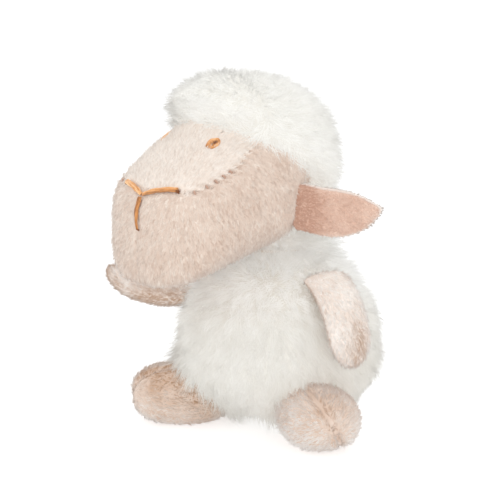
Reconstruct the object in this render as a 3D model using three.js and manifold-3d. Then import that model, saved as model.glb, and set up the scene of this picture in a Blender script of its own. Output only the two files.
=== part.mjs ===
// A small seated plush sheep, in millimetres, +Z up.
// It faces -Y, its left side is +X, and its origin is the middle of its flat seat, on the floor.
// The head, the trunk and the feet are smooth swelling forms. Each is a filling inside a sewn cover,
// and the cover is cut along its seams into the panels that it is sewn from.
import * as THREE from "three";
import { mergeVertices } from "three/addons/utils/BufferGeometryUtils.js";
import Module from "manifold-3d";

const wasm = await Module();
wasm.setup();

// Clearances and cloth
const seamGap = 0.3; // between two panels along a seam
const coverGap = 0.4; // between a filling and its cover, and between a limb and the trunk
const plushCloth = 1.8; // short plush, its backing and pile together
const fleeceCloth = 5.5; // long fleece, its backing and the packed part of its pile
const threadRadius = 0.8; // embroidery strokes
const sewingThreadRadius = 0.45;
const floorPress = 0.5; // how far a soft form is pressed flat by the floor
const overrun = 4; // how far a cutter runs past what it cuts

// Trunk
const trunkRadius = 29.5;
const trunkCentreHeight = 25;
const trunkUpperRise = 34.5;
const trunkPower = 2.3; // 2 is an ellipsoid, more is squarer
const seatSetback = 13; // how far back the seat lies from under the neck
const seatPanelRadius = 15;
const pelletBagTop = 13;
const backPanelStart = 3; // how far behind the middle the side seams run
const closingStitches = 7;
const closingSeamLength = 22;
const closingSeamMiddleHeight = 34;
const stitchWidth = 2.2;
const loosePile = 2.4; // how far the loose pile stands out past the sewn trunk
const loosePileBottom = 8; // the height from which it stands out, above the seat
const loosePileTop = 36; // the height up to which it stands out in full
const loosePileFade = 12; // the height over which it lays itself flat, at either end
const pressedBeside = 9.5; // how far to each side of its middle an arm presses the pile flat
const pressedFade = 6;

// Neck
const neckHeight = 59.5;
const neckSetforward = 4.3;
const neckRadius = 11.5;

// Head, measured from the middle of the skull
const headTurnDeg = -15;
const skullForward = 8.9; // from the neck
const skullRise = 27.1;
const skullRadius = 22.6;
const wigPile = 3.6; // how far the fleece of the head stands out past the face
const crownPile = 1.7; // and how much further over the crown and the back
const crownPower = 6; // more brings that closer to the ears
const crownFade = 0.6; // how far below the middle it ends, as a share of the size there
const fringePile = 4.6; // and how much further still over the brow, where it is combed forwards
const fringeBack = 0.4; // where that starts behind the face's middle, as a share of the size there
const fringeFoot = 0.55; // and how high above the middle
const fringeFade = 0.3;
const muzzleReach = 44;
const muzzleHalfWidth = 26.5;
const muzzleSidePower = 2.6;
const muzzleProfilePower = 7.5;
const noseTopReach = 42.2;
const noseTopDrop = 6;
const browReach = 20.8;
const browRise = 12.5;
const browNarrowing = 0.32; // how much narrower the muzzle grows straight up, as a share of its width
const chinReach = 40;
const chinDrop = 36;
const jawDropAtEar = 24.5;
const muzzleBack = 6;
const faceCentreForward = 14; // where the face's own middle lies from the skull's
const faceCentreDrop = 6;
const headBlendPower = 9;

// Seams of the face: a straight one from the mouth to the wig, and the edge of the wig
const cheekSeamRise = 15;
const cheekSeamSlope = 0.5;
const wigEdgeDrop = 40;
const wigEdgeTurn = 8; // below the skull's middle, where the edge leaves the upright
const wigEdgeReach = 32;

// Mouth and eyes
const mouthHalfWidth = 13.5;
const mouthMiddleDrop = 7;
const mouthCornerDrop = 4.6;
const chinStitchLength = 9.5;
const eyeLength = 4.8;
const eyeHeight = 3.2;
const eyeThickness = 1.2;
const eyeSpacing = 24;
const eyeRise = 8.2;

// Ears
const earLength = 28;
const earWidth = 15;
const earLayer = 1.5;
const earBackSweepDeg = 27;
const earRootDrop = 13;
const earSpread = 22; // from the middle of the head to the hidden end of the ear
const earSetforward = 1; // in front of the skull's middle
const earTipShare = 0.1; // how much of the width the tip lies above the root's middle
const earBellyShare = 0.62; // how much of the width lies below the root's middle, at the widest

// Arms
const armLength = 31;
const armRootWidth = 16;
const armTipWidth = 15;
const armThickness = 7.4;
const armRootThickness = 3;
const armSwellShare = 0.35; // how far along the arm it reaches its full thickness
const armCloth = 1.5;
const armRoundShare = 0.7; // where along the arm its paw starts to round off
const armBluntShare = 0.94; // 1 ends the paw in a point
const leftArm = {
  name: "left",
  side: 1,
  aroundDeg: 74, // from the front of the trunk to the shoulder
  riseShare: 0.768, // how far up the upper half of the trunk the shoulder lies
  startDeg: -26, // how steeply the arm leaves the shoulder, and how it bends from there
  curlDeg: -64,
  curlPower: 0.6,
  turnDeg: 0, // how far it turns to the front
  pressedBelow: 34, // how far below its shoulder it presses the pile flat
};
const rightArm = {
  name: "right",
  side: -1,
  aroundDeg: 77,
  riseShare: 0.42,
  startDeg: 0,
  curlDeg: 64,
  curlPower: 2,
  turnDeg: 36,
  pressedBelow: 14,
};

// Legs
const legLength = 33;
const legWidth = 24;
const legHeight = 20;
const legPower = 2.3;
const legAroundDeg = 58; // from the front of the trunk to the leg
const legToeDeg = 50; // the direction in which the foot points
const legReach = 30.5; // from the middle of the trunk to the middle of the foot
const legCloth = 1.5;
const legSeamRollDeg = 28;

// Fineness of the surfaces
const halvings = 40;
const headDetail = 6;
const trunkDetail = 5;
const legDetail = 3;
const limbSteps = 7;
const limbSides = 10;
const threadSides = 6;
const threadSteps = 8;

const materials = {
  longFleece: cloth(0xf1f0ea),
  facePlush: cloth(0xeee3dc),
  cheekPlush: cloth(0xddc9bc),
  limbPlush: cloth(0xdcc5b5),
  earVelour: cloth(0xdfb9a6),
  earBacking: cloth(0xf4ece6),
  embroidery: cloth(0xd08f5c),
  sewingThread: cloth(0xe9e2d8),
  filling: cloth(0xf6f5f2),
  pelletBag: cloth(0xd8d4cb),
};

function cloth(color) {
  return new THREE.MeshStandardMaterial({ color, roughness: 0.95, metalness: 0 });
}

// Solids

function solidOf(geometry) {
  const bare = geometry.clone();
  bare.deleteAttribute("normal");
  bare.deleteAttribute("uv");
  const merged = mergeVertices(bare, 1e-4);
  return new wasm.Manifold(
    new wasm.Mesh({
      numProp: 3,
      vertProperties: merged.attributes.position.array,
      triVerts: new Uint32Array(merged.index.array),
    }),
  );
}

function meshOf(solid, name, material) {
  const { vertProperties, triVerts } = solid.getMesh();
  const geometry = new THREE.BufferGeometry();
  geometry.setAttribute("position", new THREE.BufferAttribute(vertProperties, 3));
  geometry.setIndex(new THREE.BufferAttribute(triVerts, 1));
  geometry.computeVertexNormals();
  const mesh = new THREE.Mesh(geometry, material);
  mesh.name = name;
  return mesh;
}

const radians = THREE.MathUtils.degToRad;

// A block that reaches from a plane in the direction of its normal, as large as any piece here.
const everything = 4 * (trunkRadius + neckHeight);

function halfSpace(normal, distance) {
  const block = new THREE.BoxGeometry(everything, everything, everything);
  block.translate(0, 0, everything / 2 + distance);
  const turn = new THREE.Quaternion().setFromUnitVectors(
    new THREE.Vector3(0, 0, 1),
    normal.clone().normalize(),
  );
  return solidOf(block.applyQuaternion(turn));
}

// An outline drawn from the side, in (y, z), carried across the whole width.
function sideProfile(points) {
  const outline = new THREE.Shape(points);
  const geometry = new THREE.ExtrudeGeometry(outline, { depth: everything, bevelEnabled: false });
  geometry.translate(0, 0, -everything / 2);
  const sideways = new THREE.Matrix4().makeBasis(
    new THREE.Vector3(0, 1, 0),
    new THREE.Vector3(0, 0, 1),
    new THREE.Vector3(1, 0, 0),
  );
  return solidOf(geometry.applyMatrix4(sideways));
}

function ball(radius, centre, detail) {
  const geometry = new THREE.IcosahedronGeometry(radius, detail);
  return solidOf(geometry.translate(centre.x, centre.y, centre.z));
}

// A closed form seen from its own middle: reachIn(direction) is its size in each direction.
// A form that is grown or shrunk keeps its facets parallel.
function roundForm(form, grow) {
  const geometry = new THREE.IcosahedronGeometry(1, form.detail);
  const position = geometry.attributes.position;
  const point = new THREE.Vector3();
  for (let i = 0; i < position.count; i += 1) {
    point.fromBufferAttribute(position, i).normalize();
    point.multiplyScalar(form.reachIn(point) + grow).add(form.centre);
    if (form.settle) form.settle(point);
    position.setXYZ(i, point.x, point.y, point.z);
  }
  return solidOf(geometry);
}

// The surface point of a form in one direction, lifted by some height.
function surfacePoint(form, direction, lift) {
  const unit = direction.clone().normalize();
  const point = unit.clone().multiplyScalar(form.reachIn(unit) + lift).add(form.centre);
  if (form.settle) form.settle(point);
  return point;
}

// The surface point over a place given by its sideways and upward coordinates, found by halving.
function surfaceAbove(form, x, z, lift) {
  let near = 0;
  let far = everything;
  for (let i = 0; i < halvings; i += 1) {
    const middle = (near + far) / 2;
    const offset = new THREE.Vector3(x, -middle, z).sub(form.centre);
    if (offset.length() < form.reachIn(offset.clone().normalize()) + lift) near = middle;
    else far = middle;
  }
  return new THREE.Vector3(x, -near, z);
}

// The trunk: an egg, broad below, whose seat lies a little back and whose neck leans forward.

const trunkForm = {
  centre: new THREE.Vector3(0, 0, trunkCentreHeight),
  detail: trunkDetail,
  reachIn(direction) {
    const rise = direction.z > 0 ? trunkUpperRise : trunkCentreHeight + floorPress;
    const across = Math.hypot(direction.x, direction.y) / trunkRadius;
    const along = Math.abs(direction.z) / rise;
    return (across ** trunkPower + along ** trunkPower) ** (-1 / trunkPower);
  },
  settle(point) {
    const rise = (point.z - trunkCentreHeight) / trunkUpperRise;
    const depth = Math.max(0, trunkCentreHeight - point.z) / trunkCentreHeight;
    point.y += seatSetback * depth ** 2 - neckSetforward * Math.max(0, rise) ** 2;
  },
};

// The trunk with its loose pile, which lies flat under the seat, the head and the arms.
const fleeceForm = {
  ...trunkForm,
  reachIn(direction) {
    const sewn = trunkForm.reachIn(direction);
    const height = trunkForm.centre.z + sewn * direction.z;
    let loose = THREE.MathUtils.smoothstep(height, loosePileBottom, loosePileBottom + loosePileFade);
    loose *= 1 - THREE.MathUtils.smoothstep(height, loosePileTop, loosePileTop + loosePileFade);
    for (const arm of [leftArm, rightArm]) {
      const outward = shoulderDirection(arm);
      if (outward.dot(direction) < 0) continue;
      const beside = sewn * Math.abs(outward.x * direction.y - outward.y * direction.x);
      const below = shoulderHeight(arm) - height;
      const clearBeside = THREE.MathUtils.smoothstep(beside, pressedBeside, pressedBeside + pressedFade);
      const clearBelow = THREE.MathUtils.smoothstep(below, arm.pressedBelow, arm.pressedBelow + pressedFade);
      loose *= Math.max(clearBeside, clearBelow);
    }
    return sewn + loosePile * loose;
  },
};

const aboveFloor = halfSpace(new THREE.Vector3(0, 0, 1), 0);
const neckPoint = new THREE.Vector3(0, -neckSetforward, neckHeight);

function trunkPieces() {
  const socket = ball(neckRadius + coverGap, neckPoint, trunkDetail);
  const outer = roundForm(fleeceForm, 0).intersect(aboveFloor);
  const inner = roundForm(trunkForm, -fleeceCloth);
  const shell = outer.subtract(inner).subtract(socket);
  const cover = shell.subtract(seatColumn(seatPanelRadius + seamGap / 2));
  const filling = roundForm(trunkForm, -fleeceCloth - coverGap).subtract(socket);
  const upward = new THREE.Vector3(0, 0, 1);
  const downward = new THREE.Vector3(0, 0, -1);
  const forward = new THREE.Vector3(0, -1, 0);
  const backward = new THREE.Vector3(0, 1, 0);
  const behind = cover.intersect(halfSpace(backward, backPanelStart + seamGap / 2));
  return [
    meshOf(
      filling.intersect(halfSpace(upward, pelletBagTop + coverGap / 2)),
      "body_stuffing",
      materials.filling,
    ),
    meshOf(
      filling.intersect(halfSpace(downward, coverGap / 2 - pelletBagTop)),
      "seat_pellet_bag",
      materials.pelletBag,
    ),
    meshOf(
      shell.intersect(seatColumn(seatPanelRadius - seamGap / 2)),
      "body_fleece_seat",
      materials.longFleece,
    ),
    meshOf(
      cover.intersect(halfSpace(forward, seamGap / 2 - backPanelStart)),
      "body_fleece_front",
      materials.longFleece,
    ),
    ...[leftSide, rightSide].map(({ name, side }) =>
      meshOf(
        behind.intersect(halfSpace(new THREE.Vector3(side, 0, 0), seamGap / 2)),
        "body_fleece_back_" + name,
        materials.longFleece,
      ),
    ),
    closingThread(),
    neckThread(),
  ];
}

// An upright round column under the pellets, over the middle of the seat.
function seatColumn(radius) {
  const column = new THREE.CylinderGeometry(radius, radius, 2 * pelletBagTop, 8 * threadSides);
  return solidOf(column.rotateX(Math.PI / 2).translate(0, seatSetback, 0));
}

// The hand stitches that close the back, crossing the seam from side to side.
function closingThread() {
  const points = [];
  for (let i = 0; i <= closingStitches; i += 1) {
    const height = closingSeamMiddleHeight + closingSeamLength * (i / closingStitches - 1 / 2);
    const sideways = (i % 2 ? 1 : -1) * (stitchWidth / 2);
    const direction = new THREE.Vector3(sideways, trunkRadius, height - trunkCentreHeight);
    points.push(surfacePoint(fleeceForm, direction, coverGap + sewingThreadRadius));
  }
  const route = new THREE.CatmullRomCurve3(points, false, "catmullrom", 0.3);
  return meshOf(
    thread(route, sewingThreadRadius, 2 * closingStitches),
    "back_closing_thread",
    materials.sewingThread,
  );
}

// The gathering thread round the neck, lying on the top of the trunk.
function neckThread() {
  const ringRadius = neckRadius + coverGap + sewingThreadRadius;
  const geometry = new THREE.TorusGeometry(ringRadius, sewingThreadRadius, threadSides, 4 * threadSteps);
  const direction = new THREE.Vector3(ringRadius, 0, trunkUpperRise);
  const seat = surfacePoint(trunkForm, direction, coverGap + sewingThreadRadius);
  geometry.translate(neckPoint.x, neckPoint.y, seat.z);
  return meshOf(solidOf(geometry), "neck_seam_thread", materials.sewingThread);
}

// A round thread along a curve, its ends closed.
function thread(route, radius, steps) {
  const section = new THREE.Shape();
  section.absarc(0, 0, radius, 0, 2 * Math.PI);
  return solidOf(
    new THREE.ExtrudeGeometry(section, {
      extrudePath: route,
      steps,
      curveSegments: threadSides,
      bevelEnabled: false,
    }),
  );
}

// The head: a round skull run together with a deep blunt muzzle.

const skullCentre = new THREE.Vector3(0, -skullForward, skullRise);

// A flat side of the muzzle, seen from the side, through two points: how far it lies from the face's
// middle, and which way it looks.
function muzzleSide([firstY, firstZ], [secondY, secondZ]) {
  const normal = new THREE.Vector2(firstZ - secondZ, secondY - firstY).normalize();
  const distance = normal.dot(
    new THREE.Vector2(firstY + faceCentreForward, firstZ + faceCentreDrop),
  );
  return distance > 0 ? { normal, distance } : { normal: normal.negate(), distance: -distance };
}

const muzzleSides = [
  muzzleSide([-muzzleReach, -chinDrop], [-muzzleReach, browRise]),
  muzzleSide([-noseTopReach, -noseTopDrop], [-browReach, browRise]),
  muzzleSide([-chinReach, -chinDrop], [0, -jawDropAtEar]),
  muzzleSide([muzzleBack, -chinDrop], [muzzleBack, browRise]),
  muzzleSide([muzzleBack, browRise], [-browReach, browRise]),
];

const headForm = {
  centre: new THREE.Vector3(0, -faceCentreForward, -faceCentreDrop).add(skullCentre),
  detail: headDetail,
  reachIn(direction) {
    let profile = 0;
    for (const { normal, distance } of muzzleSides) {
      const facing = Math.max(0, normal.x * direction.y + normal.y * direction.z) / distance;
      profile += facing ** muzzleProfilePower;
    }
    const lengthways = profile ** (1 / muzzleProfilePower);
    const narrowing = 1 - browNarrowing * Math.max(0, direction.z);
    const sideways = Math.abs(direction.x) / (muzzleHalfWidth * narrowing);
    const muzzle =
      (lengthways ** muzzleSidePower + sideways ** muzzleSidePower) ** (-1 / muzzleSidePower);
    const toSkull = direction.y * -faceCentreForward + direction.z * -faceCentreDrop;
    const offCentre = faceCentreForward ** 2 + faceCentreDrop ** 2;
    const skull = -toSkull + Math.sqrt(toSkull ** 2 - offCentre + skullRadius ** 2);
    return (muzzle ** headBlendPower + skull ** headBlendPower) ** (1 / headBlendPower);
  },
};

// The head with its fleece, which stands out most over the crown and least round the ears.
const wigForm = {
  ...headForm,
  reachIn(direction) {
    const clearOfEars = 1 - Math.abs(direction.x) ** crownPower;
    const aboveNeck = THREE.MathUtils.smoothstep(direction.z, -crownFade, 0);
    const ahead = THREE.MathUtils.smoothstep(-direction.y, -fringeBack, 0);
    const onTop = THREE.MathUtils.smoothstep(direction.z, fringeFoot, fringeFoot + fringeFade);
    const extra = crownPile * aboveNeck + fringePile * ahead * onTop;
    return headForm.reachIn(direction) + wigPile + clearOfEars * extra;
  },
};

// The edge of the wig from the side: upright behind the cheek, then forward over the brow.
const wigEdgeShares = [
  [0.15, 0],
  [0.11, 0.26],
  [-0.15, 0.5],
  [-0.4, 0.66],
  [-0.57, 0.8],
  [-0.7, 0.96],
  [-0.86, 1.25],
];

function wigRegion(shift) {
  const scale = browRise + wigEdgeTurn + overrun;
  const edge = wigEdgeShares.map(
    ([forwardShare, upShare]) =>
      new THREE.Vector2(
        forwardShare * wigEdgeReach + shift,
        upShare * scale - wigEdgeTurn,
      ),
  );
  const smooth = new THREE.SplineCurve(edge).getPoints(2 * edge.length);
  const last = smooth[smooth.length - 1];
  const outline = [
    new THREE.Vector2(shift, -wigEdgeDrop),
    ...smooth,
    new THREE.Vector2(last.x, everything),
    new THREE.Vector2(everything, everything),
    new THREE.Vector2(everything, -wigEdgeDrop),
  ];
  return sideProfile(outline.map((point) => point.add(new THREE.Vector2(skullCentre.y, skullCentre.z))));
}

const leftSide = { name: "left", side: 1 };
const rightSide = { name: "right", side: -1 };

function headPieces() {
  const origin = new THREE.Vector3();
  const socket = ball(neckRadius + coverGap, origin, trunkDetail);
  const skin = roundForm(headForm, 0);
  const wig = roundForm(wigForm, 0);
  const inner = roundForm(headForm, -plushCloth);
  const filling = roundForm(headForm, -plushCloth - coverGap).subtract(socket);
  const behindEdge = wigRegion(seamGap / 2);
  const face = skin.subtract(inner).subtract(wigRegion(-seamGap / 2)).subtract(socket);
  const fleece = wig.subtract(inner).intersect(behindEdge).subtract(socket);
  const seamUp = new THREE.Vector3(0, -cheekSeamSlope, 1).normalize();
  const seamHeight = seamUp.dot(new THREE.Vector3(0, 0, cheekSeamRise).add(skullCentre));
  const below = face.intersect(halfSpace(seamUp.clone().negate(), seamGap / 2 - seamHeight));
  const pieces = [
    meshOf(filling, "head_stuffing", materials.filling),
    meshOf(
      face.intersect(halfSpace(seamUp, seamHeight + seamGap / 2)),
      "face_top_panel",
      materials.facePlush,
    ),
  ];
  for (const { name, side } of [leftSide, rightSide]) {
    const half = halfSpace(new THREE.Vector3(side, 0, 0), seamGap / 2);
    pieces.push(meshOf(below.intersect(half), "cheek_" + name, materials.cheekPlush));
    pieces.push(meshOf(fleece.intersect(half), "head_fleece_" + name, materials.longFleece));
    pieces.push(mouthStroke(name, side), eye(name, side));
    pieces.push(...earPieces(name, side));
  }
  pieces.push(chinStroke());
  return pieces;
}

// Embroidered strokes, laid on the face.
function strokeOver(places, name) {
  const lift = coverGap + threadRadius;
  const points = places.map(([x, drop]) => surfaceAbove(headForm, x, skullRise - drop, lift));
  const route = new THREE.CatmullRomCurve3(points);
  return meshOf(thread(route, threadRadius, threadSteps), name, materials.embroidery);
}

function mouthStroke(name, side) {
  const start = threadRadius + seamGap;
  const span = mouthHalfWidth - start;
  const places = [];
  for (let i = 0; i <= threadSteps; i += 1) {
    const share = i / threadSteps;
    const sag = (mouthMiddleDrop - mouthCornerDrop) * (1 - share) ** 2;
    places.push([side * (start + span * share), mouthCornerDrop + sag]);
  }
  return strokeOver(places, "mouth_stitch_" + name);
}

function chinStroke() {
  const start = mouthMiddleDrop + 2 * threadRadius + seamGap;
  const places = [];
  for (let i = 0; i <= threadSteps; i += 1) {
    places.push([0, start + (chinStitchLength * i) / threadSteps]);
  }
  return strokeOver(places, "chin_stitch");
}

// A padded oval of stitches, lying flat on the brow.
function eye(name, side) {
  const middle = surfaceAbove(headForm, (side * eyeSpacing) / 2, skullRise + eyeRise, 0);
  const step = eyeLength / 4;
  const beside = surfaceAbove(headForm, middle.x + step, middle.z, 0).sub(middle);
  const above = surfaceAbove(headForm, middle.x, middle.z + step, 0).sub(middle);
  const outward = beside.clone().cross(above).normalize();
  const along = beside.clone().normalize();
  const across = outward.clone().cross(along);
  const geometry = new THREE.SphereGeometry(1, 2 * threadSides, threadSides);
  geometry.scale(eyeLength / 2, eyeHeight / 2, eyeThickness / 2);
  geometry.applyMatrix4(new THREE.Matrix4().makeBasis(along, across, outward));
  const seat = middle.addScaledVector(outward, coverGap + eyeThickness / 2);
  geometry.translate(seat.x, seat.y, seat.z);
  return meshOf(solidOf(geometry), "eye_" + name, materials.embroidery);
}

// An ear: two flat leaves sewn together, narrow at the seam and rounded at the tip.
const earTopShares = [
  [0, 0.46],
  [0.35, 0.44],
  [0.7, 0.36],
  [0.92, 0.2],
];
const earBottomShares = [
  [0.93, -0.2],
  [0.75, -0.62],
  [0.45, -0.84],
  [0.15, -0.72],
  [0, -0.5],
];

function earLeaf(from, thickness) {
  const place = ([lengthShare, widthShare]) =>
    new THREE.Vector2(
      lengthShare * earLength,
      widthShare * earWidth * (widthShare < 0 ? earBellyShare : 1),
    );
  const rim = new THREE.SplineCurve([
    ...earTopShares.map(place),
    new THREE.Vector2(earLength, earTipShare * earWidth),
    ...earBottomShares.map(place),
  ]);
  const outline = new THREE.Shape(rim.getPoints(2 * threadSides));
  const geometry = new THREE.ExtrudeGeometry(outline, { depth: thickness, bevelEnabled: false });
  geometry.translate(0, 0, from);
  return geometry;
}

function earPieces(name, side) {
  const sweep = radians(earBackSweepDeg);
  const along = new THREE.Vector3(side * Math.cos(sweep), Math.sin(sweep), 0);
  const upward = new THREE.Vector3(0, 0, 1);
  const backward = along.clone().cross(upward).multiplyScalar(-side);
  const root = new THREE.Vector3(
    side * earSpread,
    skullCentre.y - earSetforward,
    skullRise - earRootDrop,
  );
  const place = new THREE.Matrix4().makeBasis(along, upward, backward).setPosition(root);
  const headSpace = roundForm(headForm, coverGap);
  return [
    ["front", -earLayer - seamGap / 2, materials.earVelour],
    ["back", seamGap / 2, materials.earBacking],
  ].map(([layer, from, material]) => {
    const geometry = earLeaf(from, earLayer).applyMatrix4(place);
    const leaf = place.determinant() > 0 ? geometry : turnedInsideOut(geometry);
    return meshOf(solidOf(leaf).subtract(headSpace), "ear_" + name + "_" + layer, material);
  });
}

// A mirrored frame turns each face round, so its corners are taken in the other order.
function turnedInsideOut(geometry) {
  const position = geometry.attributes.position;
  const first = new THREE.Vector3();
  const second = new THREE.Vector3();
  for (let i = 0; i < position.count; i += 3) {
    first.fromBufferAttribute(position, i + 1);
    second.fromBufferAttribute(position, i + 2);
    position.setXYZ(i + 1, second.x, second.y, second.z);
    position.setXYZ(i + 2, first.x, first.y, first.z);
  }
  return geometry;
}

// An arm: a flat tapering limb that is thin at its seam, full at the paw, and curls as it goes.

function shoulderDirection({ side, aroundDeg }) {
  const around = radians(aroundDeg);
  return new THREE.Vector3(side * Math.sin(around), -Math.cos(around), 0);
}

function shoulderHeight({ riseShare }) {
  return trunkCentreHeight + riseShare * trunkUpperRise;
}

function armRoute(arm) {
  const { side, startDeg, curlDeg, curlPower, turnDeg } = arm;
  const height = shoulderHeight(arm);
  const outward = shoulderDirection(arm);
  const halfRoot = armRootThickness / 2;
  const lowerEdge = shoulderPoint(outward, height - halfRoot * Math.cos(radians(startDeg)));
  const rootReach = halfRoot * Math.abs(Math.sin(radians(startDeg))) + coverGap;
  const point = lowerEdge.addScaledVector(outward, rootReach).setZ(height);
  const upright = new THREE.Vector3(0, 0, 1);
  const stations = [];
  for (let i = 0; i <= limbSteps; i += 1) {
    const share = i / limbSteps;
    const slope = radians(startDeg + curlDeg * share ** curlPower);
    const heading = outward.clone().applyAxisAngle(upright, radians(-side * turnDeg * share));
    const along = heading.clone().multiplyScalar(Math.cos(slope));
    along.z = Math.sin(slope);
    const over = heading.clone().multiplyScalar(-Math.sin(slope));
    over.z = Math.cos(slope);
    stations.push({ point: point.clone(), along, over, across: over.clone().cross(along), share });
    point.addScaledVector(along, armLength / limbSteps);
  }
  return stations;
}

// Where the trunk's surface lies at a height, in a horizontal direction.
function shoulderPoint(outward, height) {
  const rise = (height - trunkCentreHeight) / trunkUpperRise;
  const reach = trunkRadius * (1 - rise ** trunkPower) ** (1 / trunkPower);
  const point = outward.clone().multiplyScalar(reach).setZ(height);
  trunkForm.settle(point);
  return point;
}

// Closed rings of points along a limb, joined into one skin, wherever the limb is thick enough.
function limbSkin(stations, halfWidth, halfThickness, inset) {
  const rings = [];
  for (const { point, over, across, share } of stations) {
    const intoTip = Math.max(0, (share - armRoundShare) / (1 - armRoundShare));
    const taper = Math.sqrt(1 - (armBluntShare * intoTip) ** 2);
    const width = halfWidth(share) * taper - inset;
    const thickness = halfThickness(share) * taper - inset;
    if (thickness < sewingThreadRadius) continue;
    const ring = Array.from({ length: limbSides }, (_, k) => {
      const angle = (2 * Math.PI * k) / limbSides;
      return point
        .clone()
        .addScaledVector(across, width * Math.cos(angle))
        .addScaledVector(over, thickness * Math.sin(angle));
    });
    rings.push(ring);
  }
  return solidOf(skinThrough(rings));
}

function skinThrough(rings) {
  const corners = [];
  const triangle = (a, b, c) => corners.push(...a.toArray(), ...b.toArray(), ...c.toArray());
  const sides = rings[0].length;
  for (let i = 0; i + 1 < rings.length; i += 1) {
    for (let k = 0; k < sides; k += 1) {
      const next = (k + 1) % sides;
      triangle(rings[i][k], rings[i][next], rings[i + 1][k]);
      triangle(rings[i][next], rings[i + 1][next], rings[i + 1][k]);
    }
  }
  const ends = [rings[0], [...rings[rings.length - 1]].reverse()];
  for (const ring of ends) {
    const middle = new THREE.Vector3();
    ring.forEach((point) => middle.addScaledVector(point, 1 / sides));
    ring.forEach((point, k) => triangle(middle, ring[(k + 1) % sides], point));
  }
  const geometry = new THREE.BufferGeometry();
  geometry.setAttribute("position", new THREE.Float32BufferAttribute(corners, 3));
  return geometry;
}

function armPieces(arm) {
  const stations = armRoute(arm);
  const halfWidth = (share) => (armRootWidth + (armTipWidth - armRootWidth) * share) / 2;
  const swell = (share) => Math.min(1, Math.sqrt(share / armSwellShare));
  const halfThickness = (share) =>
    (armRootThickness + (armThickness - armRootThickness) * swell(share)) / 2;
  const outer = limbSkin(stations, halfWidth, halfThickness, 0);
  const inner = limbSkin(stations, halfWidth, halfThickness, armCloth);
  const filling = limbSkin(stations, halfWidth, halfThickness, armCloth + coverGap);
  const cover = outer.subtract(inner);
  const prefix = "arm_" + arm.name;
  return [
    meshOf(cover.intersect(upperSide(stations, seamGap / 2)), prefix + "_outer", materials.limbPlush),
    meshOf(cover.subtract(upperSide(stations, -seamGap / 2)), prefix + "_inner", materials.limbPlush),
    meshOf(filling, prefix + "_stuffing", materials.filling),
  ];
}

// All that lies over a limb's middle surface, from a height above it.
function upperSide(stations, height) {
  const first = stations[0];
  const last = stations[stations.length - 1];
  const lengthened = [
    { ...first, point: first.point.clone().addScaledVector(first.along, -overrun) },
    ...stations,
    { ...last, point: last.point.clone().addScaledVector(last.along, overrun) },
  ];
  const rings = lengthened.map(({ point, over, across }) =>
    [
      [-armRootWidth, height],
      [armRootWidth, height],
      [armRootWidth, armThickness],
      [-armRootWidth, armThickness],
    ].map(([x, z]) => point.clone().addScaledVector(across, x).addScaledVector(over, z)),
  );
  return solidOf(skinThrough(rings));
}

// A leg: a bean-shaped foot that points outward, its root cut by the trunk.

function legForm(side) {
  const around = radians(legAroundDeg);
  const toe = radians(legToeDeg);
  const forward = new THREE.Vector3(side * Math.sin(toe), -Math.cos(toe), 0);
  const beside = new THREE.Vector3(Math.cos(toe), side * Math.sin(toe), 0);
  return {
    centre: new THREE.Vector3(
      side * Math.sin(around) * legReach,
      -Math.cos(around) * legReach,
      legHeight / 2 - floorPress,
    ),
    detail: legDetail,
    forward,
    beside,
    reachIn(direction) {
      const shares = [
        Math.abs(direction.dot(forward)) / (legLength / 2),
        Math.abs(direction.dot(beside)) / (legWidth / 2),
        Math.abs(direction.z) / (legHeight / 2),
      ];
      return shares.reduce((sum, share) => sum + share ** legPower, 0) ** (-1 / legPower);
    },
  };
}

function legPieces({ name, side }) {
  const form = legForm(side);
  const trunk = roundForm(fleeceForm, coverGap);
  const outer = roundForm(form, 0).intersect(aboveFloor).subtract(trunk);
  const cover = outer.subtract(roundForm(form, -legCloth));
  const filling = roundForm(form, -legCloth - coverGap).subtract(trunk);
  const outward = form.beside.clone().multiplyScalar(side);
  const seam = outward.applyAxisAngle(form.forward, radians(side * legSeamRollDeg));
  const seamPlace = seam.dot(form.centre);
  const prefix = "leg_" + name;
  return [
    meshOf(
      cover.intersect(halfSpace(seam, seamPlace + seamGap / 2)),
      prefix + "_outer",
      materials.limbPlush,
    ),
    meshOf(
      cover.intersect(halfSpace(seam.clone().negate(), seamGap / 2 - seamPlace)),
      prefix + "_inner",
      materials.limbPlush,
    ),
    meshOf(filling, prefix + "_stuffing", materials.filling),
  ];
}

// Assembly

const sheep = new THREE.Group();

const trunk = new THREE.Group();
trunk.position.y = -seatSetback;
trunk.add(...trunkPieces());
for (const arm of [leftArm, rightArm]) trunk.add(...armPieces(arm));
for (const side of [leftSide, rightSide]) trunk.add(...legPieces(side));
sheep.add(trunk);

const neck = new THREE.Group();
neck.position.copy(neckPoint).add(trunk.position);
neck.add(meshOf(ball(neckRadius, new THREE.Vector3(), trunkDetail), "neck_filling", materials.filling));
sheep.add(neck);

const head = new THREE.Group();
head.position.copy(neck.position);
head.rotation.z = radians(headTurnDeg);
head.add(...headPieces());
sheep.add(head);

export default sheep;
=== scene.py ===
import math

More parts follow.
